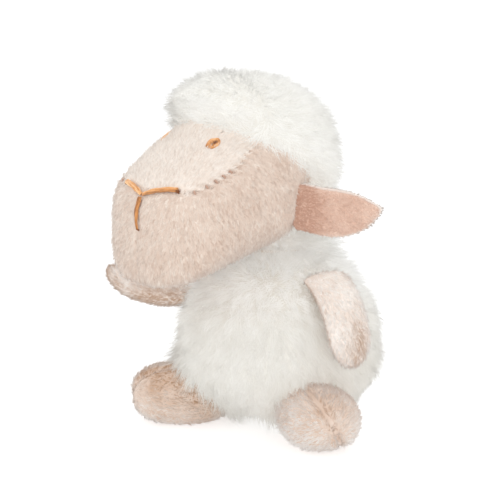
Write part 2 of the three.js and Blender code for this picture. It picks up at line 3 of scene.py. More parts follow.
import bpy
import numpy as np
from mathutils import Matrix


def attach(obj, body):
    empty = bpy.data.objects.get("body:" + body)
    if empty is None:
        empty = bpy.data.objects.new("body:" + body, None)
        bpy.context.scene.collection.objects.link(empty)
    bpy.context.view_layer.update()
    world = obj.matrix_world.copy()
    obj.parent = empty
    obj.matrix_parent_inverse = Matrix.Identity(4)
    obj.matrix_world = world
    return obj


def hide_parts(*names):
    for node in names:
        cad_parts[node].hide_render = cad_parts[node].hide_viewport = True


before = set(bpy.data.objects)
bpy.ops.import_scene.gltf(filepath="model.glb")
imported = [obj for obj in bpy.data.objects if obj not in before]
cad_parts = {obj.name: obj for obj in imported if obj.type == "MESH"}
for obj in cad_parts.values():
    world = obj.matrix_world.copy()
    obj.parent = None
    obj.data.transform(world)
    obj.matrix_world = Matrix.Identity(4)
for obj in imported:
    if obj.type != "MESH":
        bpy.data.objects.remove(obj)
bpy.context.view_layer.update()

mm = 0.001

# camera, light, floor
view = {
    "azimuth": 35,
    "elevation": 10,
    "distance": 650,
    "target": (-12.909, -10.311, 54.482),
    "lens": 145.08,
    "sensorWidth": 36,
}


# The camera stands at the view's distance from its target, along (sin a cos e, -cos a cos e, sin e),
# with a the azimuth and e the elevation.
def makeCamera():
    azimuth, elevation = math.radians(view["azimuth"]), math.radians(view["elevation"])
    back = np.array(
        [
            math.sin(azimuth) * math.cos(elevation),
            -math.cos(azimuth) * math.cos(elevation),
            math.sin(elevation),
        ]
    )
    data = bpy.data.cameras.new("camera")
    data.lens = view["lens"]
    data.sensor_width = view["sensorWidth"]
    camera = bpy.data.objects.new("camera", data)
    camera.location = (np.array(view["target"]) + view["distance"] * back) * mm
    camera.rotation_euler = (math.radians(90 - view["elevation"]), 0, azimuth)
    bpy.context.scene.collection.objects.link(camera)
    bpy.context.scene.camera = camera


light = {
    "world": 1.04,
    "aim": (0, -10, 55),
    "key": {"place": (-200, -460, 480), "size": 400, "power": 0.65},
    "fill": {"place": (420, -300, 260), "size": 420, "power": 0.5},
    "back": {"place": (60, 420, 420), "size": 380, "power": 0.6},
}


# A white world and three square lamps, each turned so that it shines at one point of the toy.
def makeLights():
    scene = bpy.context.scene
    world = bpy.data.worlds.new("studio")
    world.use_nodes = True
    world.node_tree.nodes["Background"].inputs["Color"].default_value = (1, 1, 1, 1)
    world.node_tree.nodes["Background"].inputs["Strength"].default_value = light["world"]
    scene.world = world
    for name in ("key", "fill", "back"):
        lamp = light[name]
        data = bpy.data.lights.new(name, "AREA")
        data.size = lamp["size"] * mm
        data.energy = lamp["power"]
        thing = bpy.data.objects.new(name, data)
        place = np.array(lamp["place"], float)
        thing.location = place * mm
        aim = np.array(light["aim"], float) - place
        aim /= np.linalg.norm(aim)
        pitch = math.acos(-aim[2])
        thing.rotation_euler = (pitch, 0, math.atan2(aim[1], aim[0]) - math.pi / 2)
        scene.collection.objects.link(thing)
    scene.view_settings.view_transform = "Standard"


floorPaper = {"halfSize": 4.0, "grey": 0.45, "glow": 0.62, "roughness": 0.9}  # halfSize in metres


# A flat square of pale paper that glows a little, so that it shows nearly no shadow.
def makeFloor():
    size, grey = floorPaper["halfSize"], floorPaper["grey"]
    mesh = bpy.data.meshes.new("floor")
    corners = [(-size, -size, 0), (size, -size, 0), (size, size, 0), (-size, size, 0)]
    mesh.from_pydata(corners, [], [(0, 1, 2, 3)])
    floor = bpy.data.objects.new("floor", mesh)
    bpy.context.scene.collection.objects.link(floor)
    material = bpy.data.materials.new("floorPaper")
    material.use_nodes = True
    shader = material.node_tree.nodes["Principled BSDF"]
    shader.inputs["Base Color"].default_value = (grey, grey, grey, 1)
    shader.inputs["Emission Color"].default_value = (1, 1, 1, 1)
    shader.inputs["Emission Strength"].default_value = floorPaper["glow"]
    shader.inputs["Roughness"].default_value = floorPaper["roughness"]
    mesh.materials.append(material)


# forms
trunk = {
    "radius": 29.5,
    "centreHeight": 25,
    "upperRise": 34.5,
    "power": 2.3,
    "seatSetback": 13,
    "neckSetforward": 4.3,
    "floorPress": 0.5,
    "floorClear": 0.12,
    "loosePile": 2.4,
    "looseBottom": 8,
    "looseTop": 36,
    "looseFade": 12,
    "pressedBeside": 9.5,
    "pressedFade": 6,
}

head = {
    "neckHeight": 59.5,
    "turn": -15,
    "skullForward": 8.9,
    "skullRise": 27.1,
    "skullRadius": 22.6,
    "muzzleReach": 44,
    "halfWidth": 26.5,
    "sidePower": 2.6,
    "profilePower": 7.5,
    "noseTopReach": 42.2,
    "noseTopDrop": 6,
    "browReach": 20.8,
    "browRise": 12.5,
    "browNarrowing": 0.32,
    "chinReach": 40,
    "chinDrop": 36,
    "jawDropAtEar": 24.5,
    "muzzleBack": 6,
    "faceForward": 14,
    "faceDrop": 6,
    "blendPower": 9,
    "seamRise": 15,
    "seamSlope": 0.5,
    "seamDip": 2.4,
    "mouthDip": 0.5,
    "dipStart": 6,
    "dipEnd": 24,
    "dipFade": 4,
    "wigPile": 3.6,
    "crownPile": 1.7,
    "crownPower": 6,
    "crownFade": 0.6,
    "fringePile": 4.6,
    "fringeBack": 0.4,
    "fringeFoot": 0.55,
    "fringeFade": 0.3,
}

arms = {
    "length": 31,
    "rootWidth": 16,
    "tipWidth": 15,
    "thickness": 7.4,
    "rootThickness": 3,
    "swellShare": 0.35,
    "roundShare": 0.66,
    "cadSteps": 7,
    "lineSteps": 200,
    "seatGap": 0.4,
    "rootRound": 0.03,
    "tipPower": 2.2,
    "pillow": 0.12,
    "left": {
        "side": 1,
        "around": 74,
        "rise": 0.768,
        "start": -26,
        "curl": -64,
        "power": 0.6,
        "turn": 0,
        "pressedBelow": 34,
        "headShadow": 0,
    },
    "right": {
        "side": -1,
        "around": 77,
        "rise": 0.42,
        "start": 0,
        "curl": 64,
        "power": 2,
        "turn": 36,
        "pressedBelow": 14,
        "headShadow": 0.5,
    },
}


# Vectors divided by their own length.
def unitOf(vectors):
    return vectors / np.maximum(np.linalg.norm(vectors, axis=-1, keepdims=True), 1e-12)


# 0 at low and 1 at high, by 3s^2 - 2s^3 of the share s of the way between them.
def smooth(value, low, high):
    share = np.clip((value - low) / (high - low), 0, 1)
    return share * share * (3 - 2 * share)


# The level direction in which an arm leaves the trunk: (side sin a, -cos a).
def armDirection(arm):
    around = math.radians(arm["around"])
    return np.array([arm["side"] * math.sin(around), -math.cos(around), 0])


# The height of an arm's root: a share of the trunk's upper half, above its middle.
def armHeight(arm):
    return trunk["centreHeight"] + arm["rise"] * trunk["upperRise"]


# How far the trunk's pile stands out: in full on the sides, not at all under the seat, at the neck
# or where an arm presses it flat.
def looseShare(unit, sewn):
    height = trunk["centreHeight"] + sewn * unit[:, 2]
    loose = smooth(height, trunk["looseBottom"], trunk["looseBottom"] + trunk["looseFade"])
    loose *= 1 - smooth(height, trunk["looseTop"], trunk["looseTop"] + trunk["looseFade"])
    fade = trunk["pressedFade"]
    for arm in (arms["left"], arms["right"]):
        outward = armDirection(arm)
        beside = sewn * np.abs(outward[0] * unit[:, 1] - outward[1] * unit[:, 0])
        below = armHeight(arm) - height
        clearBeside = smooth(beside, trunk["pressedBeside"], trunk["pressedBeside"] + fade)
        clearBelow = smooth(below, arm["pressedBelow"], arm["pressedBelow"] + fade)
        loose *= np.where(unit @ outward < 0, 1, np.maximum(clearBeside, clearBelow))
    return loose


# The trunk's surface: each direction from its middle, times (across^p + along^p)^(-1/p),
# with the seat set back and the neck set forward by the square of the height.
def trunkSurface(directions, grow):
    unit = unitOf(directions)
    rise = np.where(unit[:, 2] > 0, trunk["upperRise"], trunk["centreHeight"] + trunk["floorPress"])
    across = np.hypot(unit[:, 0], unit[:, 1]) / trunk["radius"]
    along = np.abs(unit[:, 2]) / rise
    power = trunk["power"]
    sewn = (across**power + along**power) ** (-1 / power)
    reach = sewn + trunk["loosePile"] * looseShare(unit, sewn) + grow
    points = unit * reach[:, None] + [0, 0, trunk["centreHeight"]]
    up = np.maximum(0, points[:, 2] - trunk["centreHeight"]) / trunk["upperRise"]
    down = np.maximum(0, trunk["centreHeight"] - points[:, 2]) / trunk["centreHeight"]
    points[:, 1] += trunk["seatSetback"] * (down**2 - 1) - trunk["neckSetforward"] * up**2
    points[:, 2] = np.maximum(points[:, 2], trunk["floorClear"])
    return points


# A flat side of the muzzle through two points of its profile: the outward normal of their line, and
# the line's distance from the middle of the face.
def muzzleSide(first, second):
    normal = np.array([first[1] - second[1], second[0] - first[0]], float)
    normal /= np.linalg.norm(normal)
    distance = normal @ np.array([first[0] + head["faceForward"], first[1] + head["faceDrop"]])
    return (normal, distance) if distance > 0 else (-normal, -distance)


muzzleSides = [
    muzzleSide((-head["muzzleReach"], -head["chinDrop"]), (-head["muzzleReach"], head["browRise"])),
    muzzleSide((-head["noseTopReach"], -head["noseTopDrop"]), (-head["browReach"], head["browRise"])),
    muzzleSide((-head["chinReach"], -head["chinDrop"]), (0, -head["jawDropAtEar"])),
    muzzleSide((head["muzzleBack"], -head["chinDrop"]), (head["muzzleBack"], head["browRise"])),
    muzzleSide((head["muzzleBack"], head["browRise"]), (-head["browReach"], head["browRise"])),
]


# The head's surface from the middle of the face, in the skull's own axes: flat muzzle sides and a
# skull ball, each a reach in every direction, joined by a high power mean.
def skullSurface(directions, grow):
    unit = unitOf(directions)
    profile = sum(
        (np.maximum(0, unit[:, 1] * normal[0] + unit[:, 2] * normal[1]) / distance)
        ** head["profilePower"]
        for normal, distance in muzzleSides
    )
    lengthways = profile ** (1 / head["profilePower"])
    narrowing = 1 - head["browNarrowing"] * np.maximum(0, unit[:, 2])
    sideways = np.abs(unit[:, 0]) / (head["halfWidth"] * narrowing)
    side = head["sidePower"]
    muzzle = (lengthways**side + sideways**side) ** (-1 / side)
    toSkull = -unit[:, 1] * head["faceForward"] - unit[:, 2] * head["faceDrop"]
    offCentre = head["faceForward"] ** 2 + head["faceDrop"] ** 2
    skull = -toSkull + np.sqrt(toSkull**2 - offCentre + head["skullRadius"] ** 2)
    blend = head["blendPower"]
    reach = (muzzle**blend + skull**blend) ** (1 / blend) + grow
    return unit * reach[:, None] + [0, -head["faceForward"], -head["faceDrop"]]


faceMiddle = np.array([0, -head["faceForward"], -head["faceDrop"]], float)

# The wig's front edge from the side: how far forward it lies at each height.
wigEdge = np.array(
    [
        [-40, 0],
        [-8, 4.8],
        [-1.6, 3.5],
        [4.25, -4.8],
        [8.2, -12.8],
        [11.6, -18.2],
        [15.5, -22.4],
        [22.6, -27.5],
    ]
)


# How far behind the wig's front edge a point lies: its y less the edge's y at its height.
def behindEdge(points):
    return points[:, 1] - np.interp(points[:, 2], wigEdge[:, 0], wigEdge[:, 1])


# How far the wig stands out past the face: most over the front of the crown, and little by little
# at its edge.
def wigLift(unit, points, low=-1.5, high=4.5):
    clearOfEars = 1 - np.abs(unit[:, 0]) ** head["crownPower"]
    aboveNeck = smooth(unit[:, 2], -head["crownFade"], 0)
    ahead = smooth(-unit[:, 1], -head["fringeBack"], 0)
    onTop = smooth(unit[:, 2], head["fringeFoot"], head["fringeFoot"] + head["fringeFade"])
    extra = head["crownPile"] * aboveNeck + head["fringePile"] * ahead * onTop
    full = head["wigPile"] + clearOfEars * extra
    return full * smooth(behindEdge(points), low, high)


# The wig: the skull's reach plus the wig's lift, in every direction.
def wigSurface(directions, grow):
    unit = unitOf(directions)
    points = skullSurface(directions, 0)
    return points + unit * (wigLift(unit, points) + grow)[:, None]


headTurn = math.radians(head["turn"])
headTurnMatrix = np.array(
    [
        [math.cos(headTurn), -math.sin(headTurn), 0],
        [math.sin(headTurn), math.cos(headTurn), 0],
        [0, 0, 1],
    ]
)


# From the skull's axes to the toy's: moved forwards and up, turned about the neck and set on it.
def fromSkull(points):
    lifted = points + [0, -head["skullForward"], head["skullRise"]]
    forward = -trunk["neckSetforward"] - trunk["seatSetback"]
    return lifted @ headTurnMatrix.T + [0, forward, head["neckHeight"]]


# The same turn for a direction.
def turnOnly(vectors):
    return vectors @ headTurnMatrix.T


# A form that is worked out where it stands keeps its points and its normals.
def asTheyAre(vectors):
    return vectors


trunkForm = {"surface": trunkSurface, "place": asTheyAre, "turn": asTheyAre}
headForm = {"surface": skullSurface, "place": fromSkull, "turn": turnOnly}
wigForm = {"surface": wigSurface, "place": fromSkull, "turn": turnOnly}


# Normals of a form: the cross product of two small steps over its surface.
def normalsOf(form, directions, grow):
    unit = unitOf(directions)
    helper = np.where(np.abs(unit[:, 2:3]) < 0.9, [[0, 0, 1.0]], [[1.0, 0, 0]])
    first = unitOf(np.cross(helper, unit))
    second = np.cross(unit, first)
    step = 1e-3
    here = form["surface"](unit, grow)
    beside = form["surface"](unit + step * first, grow) - here
    above = form["surface"](unit + step * second, grow) - here
    cross = np.cross(beside, above)
    return unitOf(cross), np.linalg.norm(cross, axis=1) / step**2


# Directions spread at random and evenly by area over the part of a form that a region keeps.
def scatter(form, count, region, random, grow=0.0):
    found = np.zeros((0, 3))
    while len(found) < count:
        tried = unitOf(random.normal(size=(4 * count, 3)))
        normals, area = normalsOf(form, tried, grow)
        weight = area * region(form["surface"](tried, grow), normals)
        kept = random.uniform(size=len(tried)) * np.quantile(weight[weight > 0], 0.98) < weight
        found = np.vstack([found, tried[kept]])
    return found[:count]


# The number of the centre nearest each point: the least |c|^2 - 2 p.c, worked out a block at a time.
def nearest(points, centres, blockSize=4096):
    found = np.empty(len(points), int)
    squares = np.sum(centres**2, axis=1)
    for start in range(0, len(points), blockSize):
        block = points[start : start + blockSize]
        found[start : start + blockSize] = (squares - 2 * block @ centres.T).argmin(axis=1)
    return found


# The distance from each point to the nearest of some places.
def distanceTo(points, places):
    found = nearest(points, places)
    return np.linalg.norm(points - places[found], axis=1)


# How every pile lies, whatever its length.
strand = {
    "shortest": 0.3,
    "bendAtRoot": 0.55,
    "bendAtTip": 0.6,
    "pullPower": 1.2,
    "waves": 5.0,
    "lifts": 4.0,
    "floorClear": 0.25,
    "floorSpread": 0.2,
    "widthSpread": 0.25,
    "thinnest": 0.2,
    "taperPower": 0.6,
    "section": ((1, -0.35), (0, 0.55), (-1, -0.35)),
    "evenShadeAt": 0.6,
}


# Strands of pile. Each leaves its root along the normal, bends over towards the comb direction,
# is drawn to the line of its tuft and waves a little. Its section is a triangle that tapers to a tip.
def pileMesh(name, form, region, comb, look, seed):
    random = np.random.default_rng(seed)
    count = look["count"]
    directions = scatter(form, count, region, random, look["root"])
    tuftCount = max(8, int(count / look["perTuft"]))
    tufts = scatter(form, tuftCount, region, random, look["root"])
    roots = form["surface"](directions, look["root"])
    normals = normalsOf(form, directions, look["root"])[0]
    tuftRoots = form["surface"](tufts, look["root"])
    tuftNormals = normalsOf(form, tufts, look["root"])[0]
    own = nearest(roots, tuftRoots)

    # The comb direction laid on the surface, turned about the normal by a random angle.
    def combed(points, around, spread, size):
        flow = comb(points, around)
        flow = flow - around * np.sum(flow * around, axis=1, keepdims=True)
        flow = unitOf(flow)
        angle = random.normal(0, spread, size)[:, None]
        return flow * np.cos(angle) + np.cross(around, flow) * np.sin(angle)

    tuftFlow = combed(tuftRoots, tuftNormals, look["tuftTurn"], tuftCount)
    strandFlow = unitOf(tuftFlow[own] + combed(roots, normals, look["strandTurn"], count))
    tuftLength = look["length"] * (1 + look["tuftLengthSpread"] * random.normal(size=tuftCount))
    tuftLean = look["lean"] + look["tuftLeanSpread"] * random.normal(size=tuftCount)
    lengthHere = look["lengthAt"](roots, normals) if "lengthAt" in look else np.ones(count)
    length = tuftLength[own] * lengthHere * (1 + look["lengthSpread"] * random.normal(size=count))
    length = np.maximum(length, strand["shortest"] * look["length"] * lengthHere)
    lean = np.radians(tuftLean[own] + look["leanSpread"] * random.normal(size=count))
    if "leanAt" in look:
        lean = lean * look["leanAt"](roots, normals)
    steps = look["steps"]
    share = np.arange(steps + 1) / steps
    centre = np.zeros((count, steps + 1, 3))
    tuftLine = np.zeros((count, steps + 1, 3))
    centre[:, 0] = roots
    tuftLine[:, 0] = tuftRoots[own]
    for i in range(1, steps + 1):
        angle = (lean * (strand["bendAtRoot"] + strand["bendAtTip"] * share[i]))[:, None]
        piece = (length / steps)[:, None]
        centre[:, i] = centre[:, i - 1] + piece * (normals * np.cos(angle) + strandFlow * np.sin(angle))
        tuftLine[:, i] = tuftLine[:, i - 1] + piece * (
            tuftNormals[own] * np.cos(angle) + tuftFlow[own] * np.sin(angle)
        )
    pull = (look["pull"] * share ** strand["pullPower"])[None, :, None]
    centre += pull * (tuftLine - centre)
    side = np.cross(normals, strandFlow)
    phase = random.uniform(0, 2 * math.pi, (count, 2))
    swing = look["wave"] * share[None, :]
    wave = swing * np.sin(strand["waves"] * share[None, :] + phase[:, :1])
    lift = swing * np.sin(strand["lifts"] * share[None, :] + phase[:, 1:])
    centre += wave[:, :, None] * side[:, None] + 0.5 * lift[:, :, None] * normals[:, None]
    centre = form["place"](centre.reshape(-1, 3)).reshape(count, steps + 1, 3)
    lowest = strand["floorClear"] + strand["floorSpread"] * random.uniform(size=(count, 1))
    centre[:, :, 2] = np.maximum(centre[:, :, 2], lowest)
    normals = form["turn"](normals)

    along = unitOf(np.gradient(centre, axis=1))
    beside = unitOf(np.cross(normals[:, None], along))
    above = np.cross(along, beside)
    width = look["width"] * (1 + strand["widthSpread"] * random.normal(size=(count, 1)))
    width = width * (1 - share[None, :-1]) ** strand["taperPower"]
    width = np.maximum(width, strand["thinnest"] * look["width"])
    tilt = random.normal(0, look["tilt"], (count, 1))
    corners = np.empty((count, 3 * steps + 1, 3))
    around = np.empty_like(corners)
    for k, (flat, high) in enumerate(strand["section"]):
        across = (flat * np.cos(tilt) - high * np.sin(tilt))[:, :, None]
        upward = (flat * np.sin(tilt) + high * np.cos(tilt))[:, :, None]
        out = across * beside[:, :-1] + upward * above[:, :-1]
        corners[:, k : 3 * steps : 3] = centre[:, :-1] + width[:, :, None] * out
        around[:, k : 3 * steps : 3] = out
    corners[:, -1] = centre[:, -1]
    around[:, -1] = along[:, -1]
    ahead = np.repeat(along[:, :-1], 3, axis=1) * look.get("aheadNormal", 0)
    around[:, :-1] += ahead / look["ownNormal"]
    shading = unitOf(look["ownNormal"] * around + normals[:, None])

    triangles = [(0, 2, 1)]
    quads = []
    for i in range(steps - 1):
        for k in range(3):
            n = (k + 1) % 3
            quads.append((3 * i + k, 3 * i + n, 3 * i + 3 + n, 3 * i + 3 + k))
    last = 3 * (steps - 1)
    for k in range(3):
        triangles.append((last + k, last + (k + 1) % 3, 3 * steps))
    size = 3 * steps + 1
    offset = (np.arange(count) * size)[:, None, None]
    triangles = (np.array(triangles)[None] + offset).reshape(-1, 3)
    faces = [triangles]
    if quads:
        faces.append((np.array(quads)[None] + offset).reshape(-1, 4))
    tuftShade = random.normal(0, 1, tuftCount)[own]
    strandShade = random.normal(0, 1, count)
    base = look.get("baseShade", 0.5) + look["tuftShade"] * tuftShade
    base = base + look["strandShade"] * strandShade
    if "shadeAt" in look:
        base = base + look["shadeAt"](roots, normals)
    # Each strand is darker towards its root and lighter towards its tip: painted shade deep in the
    # pile, whose strands cast no shadow on each other.
    shareOf = np.append(np.repeat(share[:-1], 3), 1.0)
    shade = base[:, None] + look["tipShade"] * (shareOf[None, :] - strand["evenShadeAt"])
    points, shades = corners.reshape(-1, 3), np.clip(shade, 0, 1).ravel()
    return meshFrom(name, points, faces, shading.reshape(-1, 3), shades)


# A mesh from whole arrays: points in millimetres, faces by size, normals and a shade for each point.
def meshFrom(name, points, faces, normals=None, shade=None):
    mesh = bpy.data.meshes.new(name)
    loops = np.concatenate([f.ravel() for f in faces]).astype(np.int32)
    sizes = np.concatenate([np.full(len(f), f.shape[1]) for f in faces])
    starts = np.concatenate([[0], np.cumsum(sizes)[:-1]]).astype(np.int32)
    mesh.vertices.add(len(points))
    mesh.vertices.foreach_set("co", (points * mm).astype(np.float32).ravel())
    mesh.loops.add(len(loops))
    mesh.loops.foreach_set("vertex_index", loops)
    mesh.polygons.add(len(sizes))
    mesh.polygons.foreach_set("loop_start", starts)
    mesh.update(calc_edges=True)
    mesh.shade_smooth()
    if normals is not None:
        mesh.normals_split_custom_set_from_vertices(normals.astype(np.float32))
    if shade is not None:
        tint = mesh.attributes.new("shade", "FLOAT", "POINT")
        tint.data.foreach_set("value", shade.astype(np.float32))
    thing = bpy.data.objects.new(name, mesh)
    bpy.context.scene.collection.objects.link(thing)
    return thing


# A closed round skin over a form: rings of directions (sin p cos t, sin p sin t, cos p), pole to pole.
def skinMesh(name, form, grow, rings=64, sides=96, shade=0.3, shape=None):
    polar = np.pi * np.arange(1, rings) / rings
    turn = 2 * np.pi * np.arange(sides) / sides
    grid = np.stack(
        [
            np.sin(polar)[:, None] * np.cos(turn)[None],
            np.sin(polar)[:, None] * np.sin(turn)[None],
            np.cos(polar)[:, None] * np.ones(sides)[None],
        ],
        axis=-1,
    ).reshape(-1, 3)
    directions = np.vstack([grid, [[0, 0, 1.0], [0, 0, -1.0]]])
    points = form["surface"](directions, grow)
    if shape is not None:
        points = shape(points, directions)
    points = form["place"](points)
    row, column = np.meshgrid(np.arange(rings - 2), np.arange(sides), indexing="ij")
    here = row * sides + column
    beside = row * sides + (column + 1) % sides
    quads = np.stack([here, here + sides, beside + sides, beside], axis=-1).reshape(-1, 4)
    top, bottom = len(grid), len(grid) + 1
    ring = np.arange(sides)
    nextOne = (ring + 1) % sides
    lowest = (rings - 2) * sides
    topCap = np.stack([np.full(sides, top), ring, nextOne], axis=-1)
    bottomCap = np.stack([np.full(sides, bottom), lowest + nextOne, lowest + ring], axis=-1)
    caps = np.vstack([topCap, bottomCap])
    return meshFrom(name, points, [caps, quads], shade=np.full(len(points), shade))


# Round threads along lines, in one mesh: rings of points around each line, their ends closed.
# lines has one row of points for each thread, with a size, an upward direction and a shade for each.
def tubes(name, lines, radii, ups, shade, sides=7, bulge=0.6):
    count, steps = radii.shape
    along = unitOf(np.gradient(lines, axis=1))
    beside = unitOf(np.cross(ups, along))
    above = np.cross(along, beside)
    angle = 2 * math.pi * np.arange(sides) / sides
    out = (
        np.cos(angle)[None, None, :, None] * beside[:, :, None]
        + np.sin(angle)[None, None, :, None] * above[:, :, None]
    )
    rings = lines[:, :, None] + radii[:, :, None, None] * out
    start = lines[:, 0] - bulge * radii[:, :1] * along[:, 0]
    finish = lines[:, -1] + bulge * radii[:, -1:] * along[:, -1]
    ends = np.stack([start, finish], axis=1)
    size = steps * sides + 2
    points = np.concatenate([rings.reshape(count, -1, 3), ends], axis=1)
    ring, side = np.meshgrid(np.arange(steps - 1), np.arange(sides), indexing="ij")
    here = (ring * sides + side).ravel()
    beyond = (ring * sides + (side + 1) % sides).ravel()
    quads = np.stack([here, beyond, beyond + sides, here + sides], axis=1)
    turn = np.arange(sides)
    first = np.stack([np.full(sides, steps * sides), (turn + 1) % sides, turn], axis=1)
    base = (steps - 1) * sides
    last = np.stack([np.full(sides, steps * sides + 1), base + turn, base + (turn + 1) % sides], axis=1)
    offset = (np.arange(count) * size)[:, None, None]
    triangles = (np.vstack([first, last])[None] + offset).reshape(-1, 3)
    quads = (quads[None] + offset).reshape(-1, 4)
    tint = np.concatenate([np.repeat(shade, sides, axis=1), shade[:, :1], shade[:, -1:]], axis=1)
    tint = np.clip(tint, 0, 1).ravel()
    return meshFrom(name, points.reshape(-1, 3), [triangles, quads], shade=tint)


twist = {"offset": 0.45, "ply": 0.6, "shade": 0.5, "shadeSwing": 0.15}  # shares of a cord's radius


# A cord of a few plies, each winding round the cord's own line: line + r (cos t beside + sin t out).
def twistedCord(name, line, normals, radius, plies, turns):
    along = unitOf(np.gradient(line, axis=0))
    beside = unitOf(np.cross(normals, along))
    share = np.linspace(0, 1, len(line))
    angle = 2 * math.pi * (np.arange(plies)[:, None] / plies + turns * share[None])
    swirl = np.cos(angle)[:, :, None] * beside + np.sin(angle)[:, :, None] * normals
    lines = line[None] + twist["offset"] * radius * swirl
    radii = np.full(lines.shape[:2], twist["ply"] * radius)
    ups = np.broadcast_to(normals, lines.shape)
    shade = twist["shade"] + twist["shadeSwing"] * np.cos(angle)
    return tubes(name, lines, radii, ups, shade, sides=6)


# Where the trunk's surface lies at a height, in a level direction: its radius times
# (1 - rise^p)^(1/p) along it, with the neck set forward by the square of the rise.
def shoulderPoint(outward, height):
    rise = (height - trunk["centreHeight"]) / trunk["upperRise"]
    power = trunk["power"]
    reach = trunk["radius"] * (1 - rise**power) ** (1 / power)
    forward = trunk["seatSetback"] + trunk["neckSetforward"] * rise**2
    return reach * outward + np.array([0, -forward, height])


# An arm's middle line: steps of one length whose slope bends from the start towards the tip.
# Its skin: at each share of the length an ellipse, thin at the root, full and rounded at the paw.
def armForm(arm):
    outward = armDirection(arm)
    height = armHeight(arm)
    half, start = arms["rootThickness"] / 2, math.radians(arm["start"])
    root = shoulderPoint(outward, height - half * math.cos(start))
    root += (half * abs(math.sin(start)) + arms["seatGap"]) * outward
    root[2] = height
    share = np.linspace(0, 1, arms["lineSteps"] + 1)
    late = np.maximum(0, share - 0.5 / arms["cadSteps"])
    slope = np.radians(arm["start"] + arm["curl"] * late ** arm["power"])[:, None]
    turn = np.radians(-arm["side"] * arm["turn"] * late)[:, None]
    heading = np.hstack(
        [
            outward[0] * np.cos(turn) - outward[1] * np.sin(turn),
            outward[0] * np.sin(turn) + outward[1] * np.cos(turn),
            0 * turn,
        ]
    )
    up = np.array([[0, 0, 1.0]])
    along = heading * np.cos(slope) + up * np.sin(slope)
    over = -heading * np.sin(slope) + up * np.cos(slope)
    across = np.cross(over, along)
    step = arms["length"] / arms["lineSteps"]
    line = root + np.vstack([[[0, 0, 0]], np.cumsum(along[:-1] * step, axis=0)])

    def atShare(table, at):
        return np.stack([np.interp(at, share, table[:, k]) for k in range(3)], axis=1)

    def surface(directions, grow):
        unit = unitOf(directions)
        at = (1 + unit[:, 2]) / 2
        angle = np.arctan2(unit[:, 1], unit[:, 0])
        swell = np.minimum(1, np.sqrt(at / arms["swellShare"]))
        thin = arms["rootThickness"]
        wide = (arms["rootWidth"] + (arms["tipWidth"] - arms["rootWidth"]) * at) / 2
        thick = (thin + (arms["thickness"] - thin) * swell) / 2
        intoTip = np.maximum(0, at - arms["roundShare"]) / (1 - arms["roundShare"])
        closing = np.sqrt(np.maximum(0, 1 - intoTip ** arms["tipPower"]))
        closing = closing * np.minimum(1, np.sqrt(at / arms["rootRound"]))
        pillow = 1 - arms["pillow"] * np.cos(angle) ** 4
        return (
            atShare(line, at)
            + atShare(across, at) * ((wide * closing + grow) * np.cos(angle))[:, None]
            + atShare(over, at) * ((thick * closing * pillow + grow) * np.sin(angle))[:, None]
        )

    def flow(points, normals):
        nearestStep = nearest(points, line)
        return along[nearestStep]

    # Paler on the outer side and darker on the inner side, painted light and shade; browner towards the
    # edges and on the paw; and darker towards the far arm's root, a painted shadow of the head.
    def shadeAt(points, normals):
        own = nearest(points, line)
        aside = np.abs(np.sum((points - line[own]) * across[own], axis=1)) / 8
        outer = np.sum(normals * over[own], axis=1)
        offset = np.sum((points - line[own]) * across[own], axis=1)
        paw = smooth(share[own], 0.5, 0.72) * np.exp(-(((offset * arm["side"] - 1) / 3.2) ** 2))
        # Painted shadow of the head over the far arm, strongest towards its root.
        headShadow = arm["headShadow"] * smooth(-share[own], -0.8, -0.3)
        return 0.02 + 0.36 * smooth(outer, -0.5, 0.6) - 0.15 * aside**4 - 0.75 * paw - headShadow

    form = {"surface": surface, "place": asTheyAre, "turn": asTheyAre}
    return {"form": form, "flow": flow, "line": line, "shadeAt": shadeAt}


# materials


# A screen colour of 0 to 255 as light, by the sRGB curve.
def linear(color):
    return tuple(((c / 255 + 0.055) / 1.055) ** 2.4 if c > 10 else c / 255 / 12.92 for c in color)


# Patches of slightly different colour, as brushed pile has: shade + depth (noise - 0.5), with Size
# in patches for each metre.
def mottleGroup():
    group = bpy.data.node_groups.new("pileMottle", "ShaderNodeTree")
    for socket in ("Size", "Depth", "Shade"):
        group.interface.new_socket(socket, in_out="INPUT", socket_type="NodeSocketFloat")
    group.interface.new_socket("Value", in_out="OUTPUT", socket_type="NodeSocketFloat")
    kinds = ("NodeGroupInput", "NodeGroupOutput", "ShaderNodeTexCoord", "ShaderNodeTexNoise")
    start, end, place, noise = (group.nodes.new(kind) for kind in kinds)
    noise.inputs["Detail"].default_value = 3
    noise.inputs["Roughness"].default_value = 0.6
    centred, scaled, total = (group.nodes.new("ShaderNodeMath") for _ in range(3))
    centred.operation = "SUBTRACT"
    centred.inputs[1].default_value = 0.5
    scaled.operation = "MULTIPLY"
    total.operation = "ADD"
    total.use_clamp = True
    for source, target in (
        (place.outputs["Object"], noise.inputs["Vector"]),
        (start.outputs["Size"], noise.inputs["Scale"]),
        (noise.outputs["Fac"], centred.inputs[0]),
        (centred.outputs[0], scaled.inputs[0]),
        (start.outputs["Depth"], scaled.inputs[1]),
        (scaled.outputs[0], total.inputs[0]),
        (start.outputs["Shade"], total.inputs[1]),
        (total.outputs[0], end.inputs["Value"]),
    ):
        group.links.new(source, target)
    return group


mottle = mottleGroup()


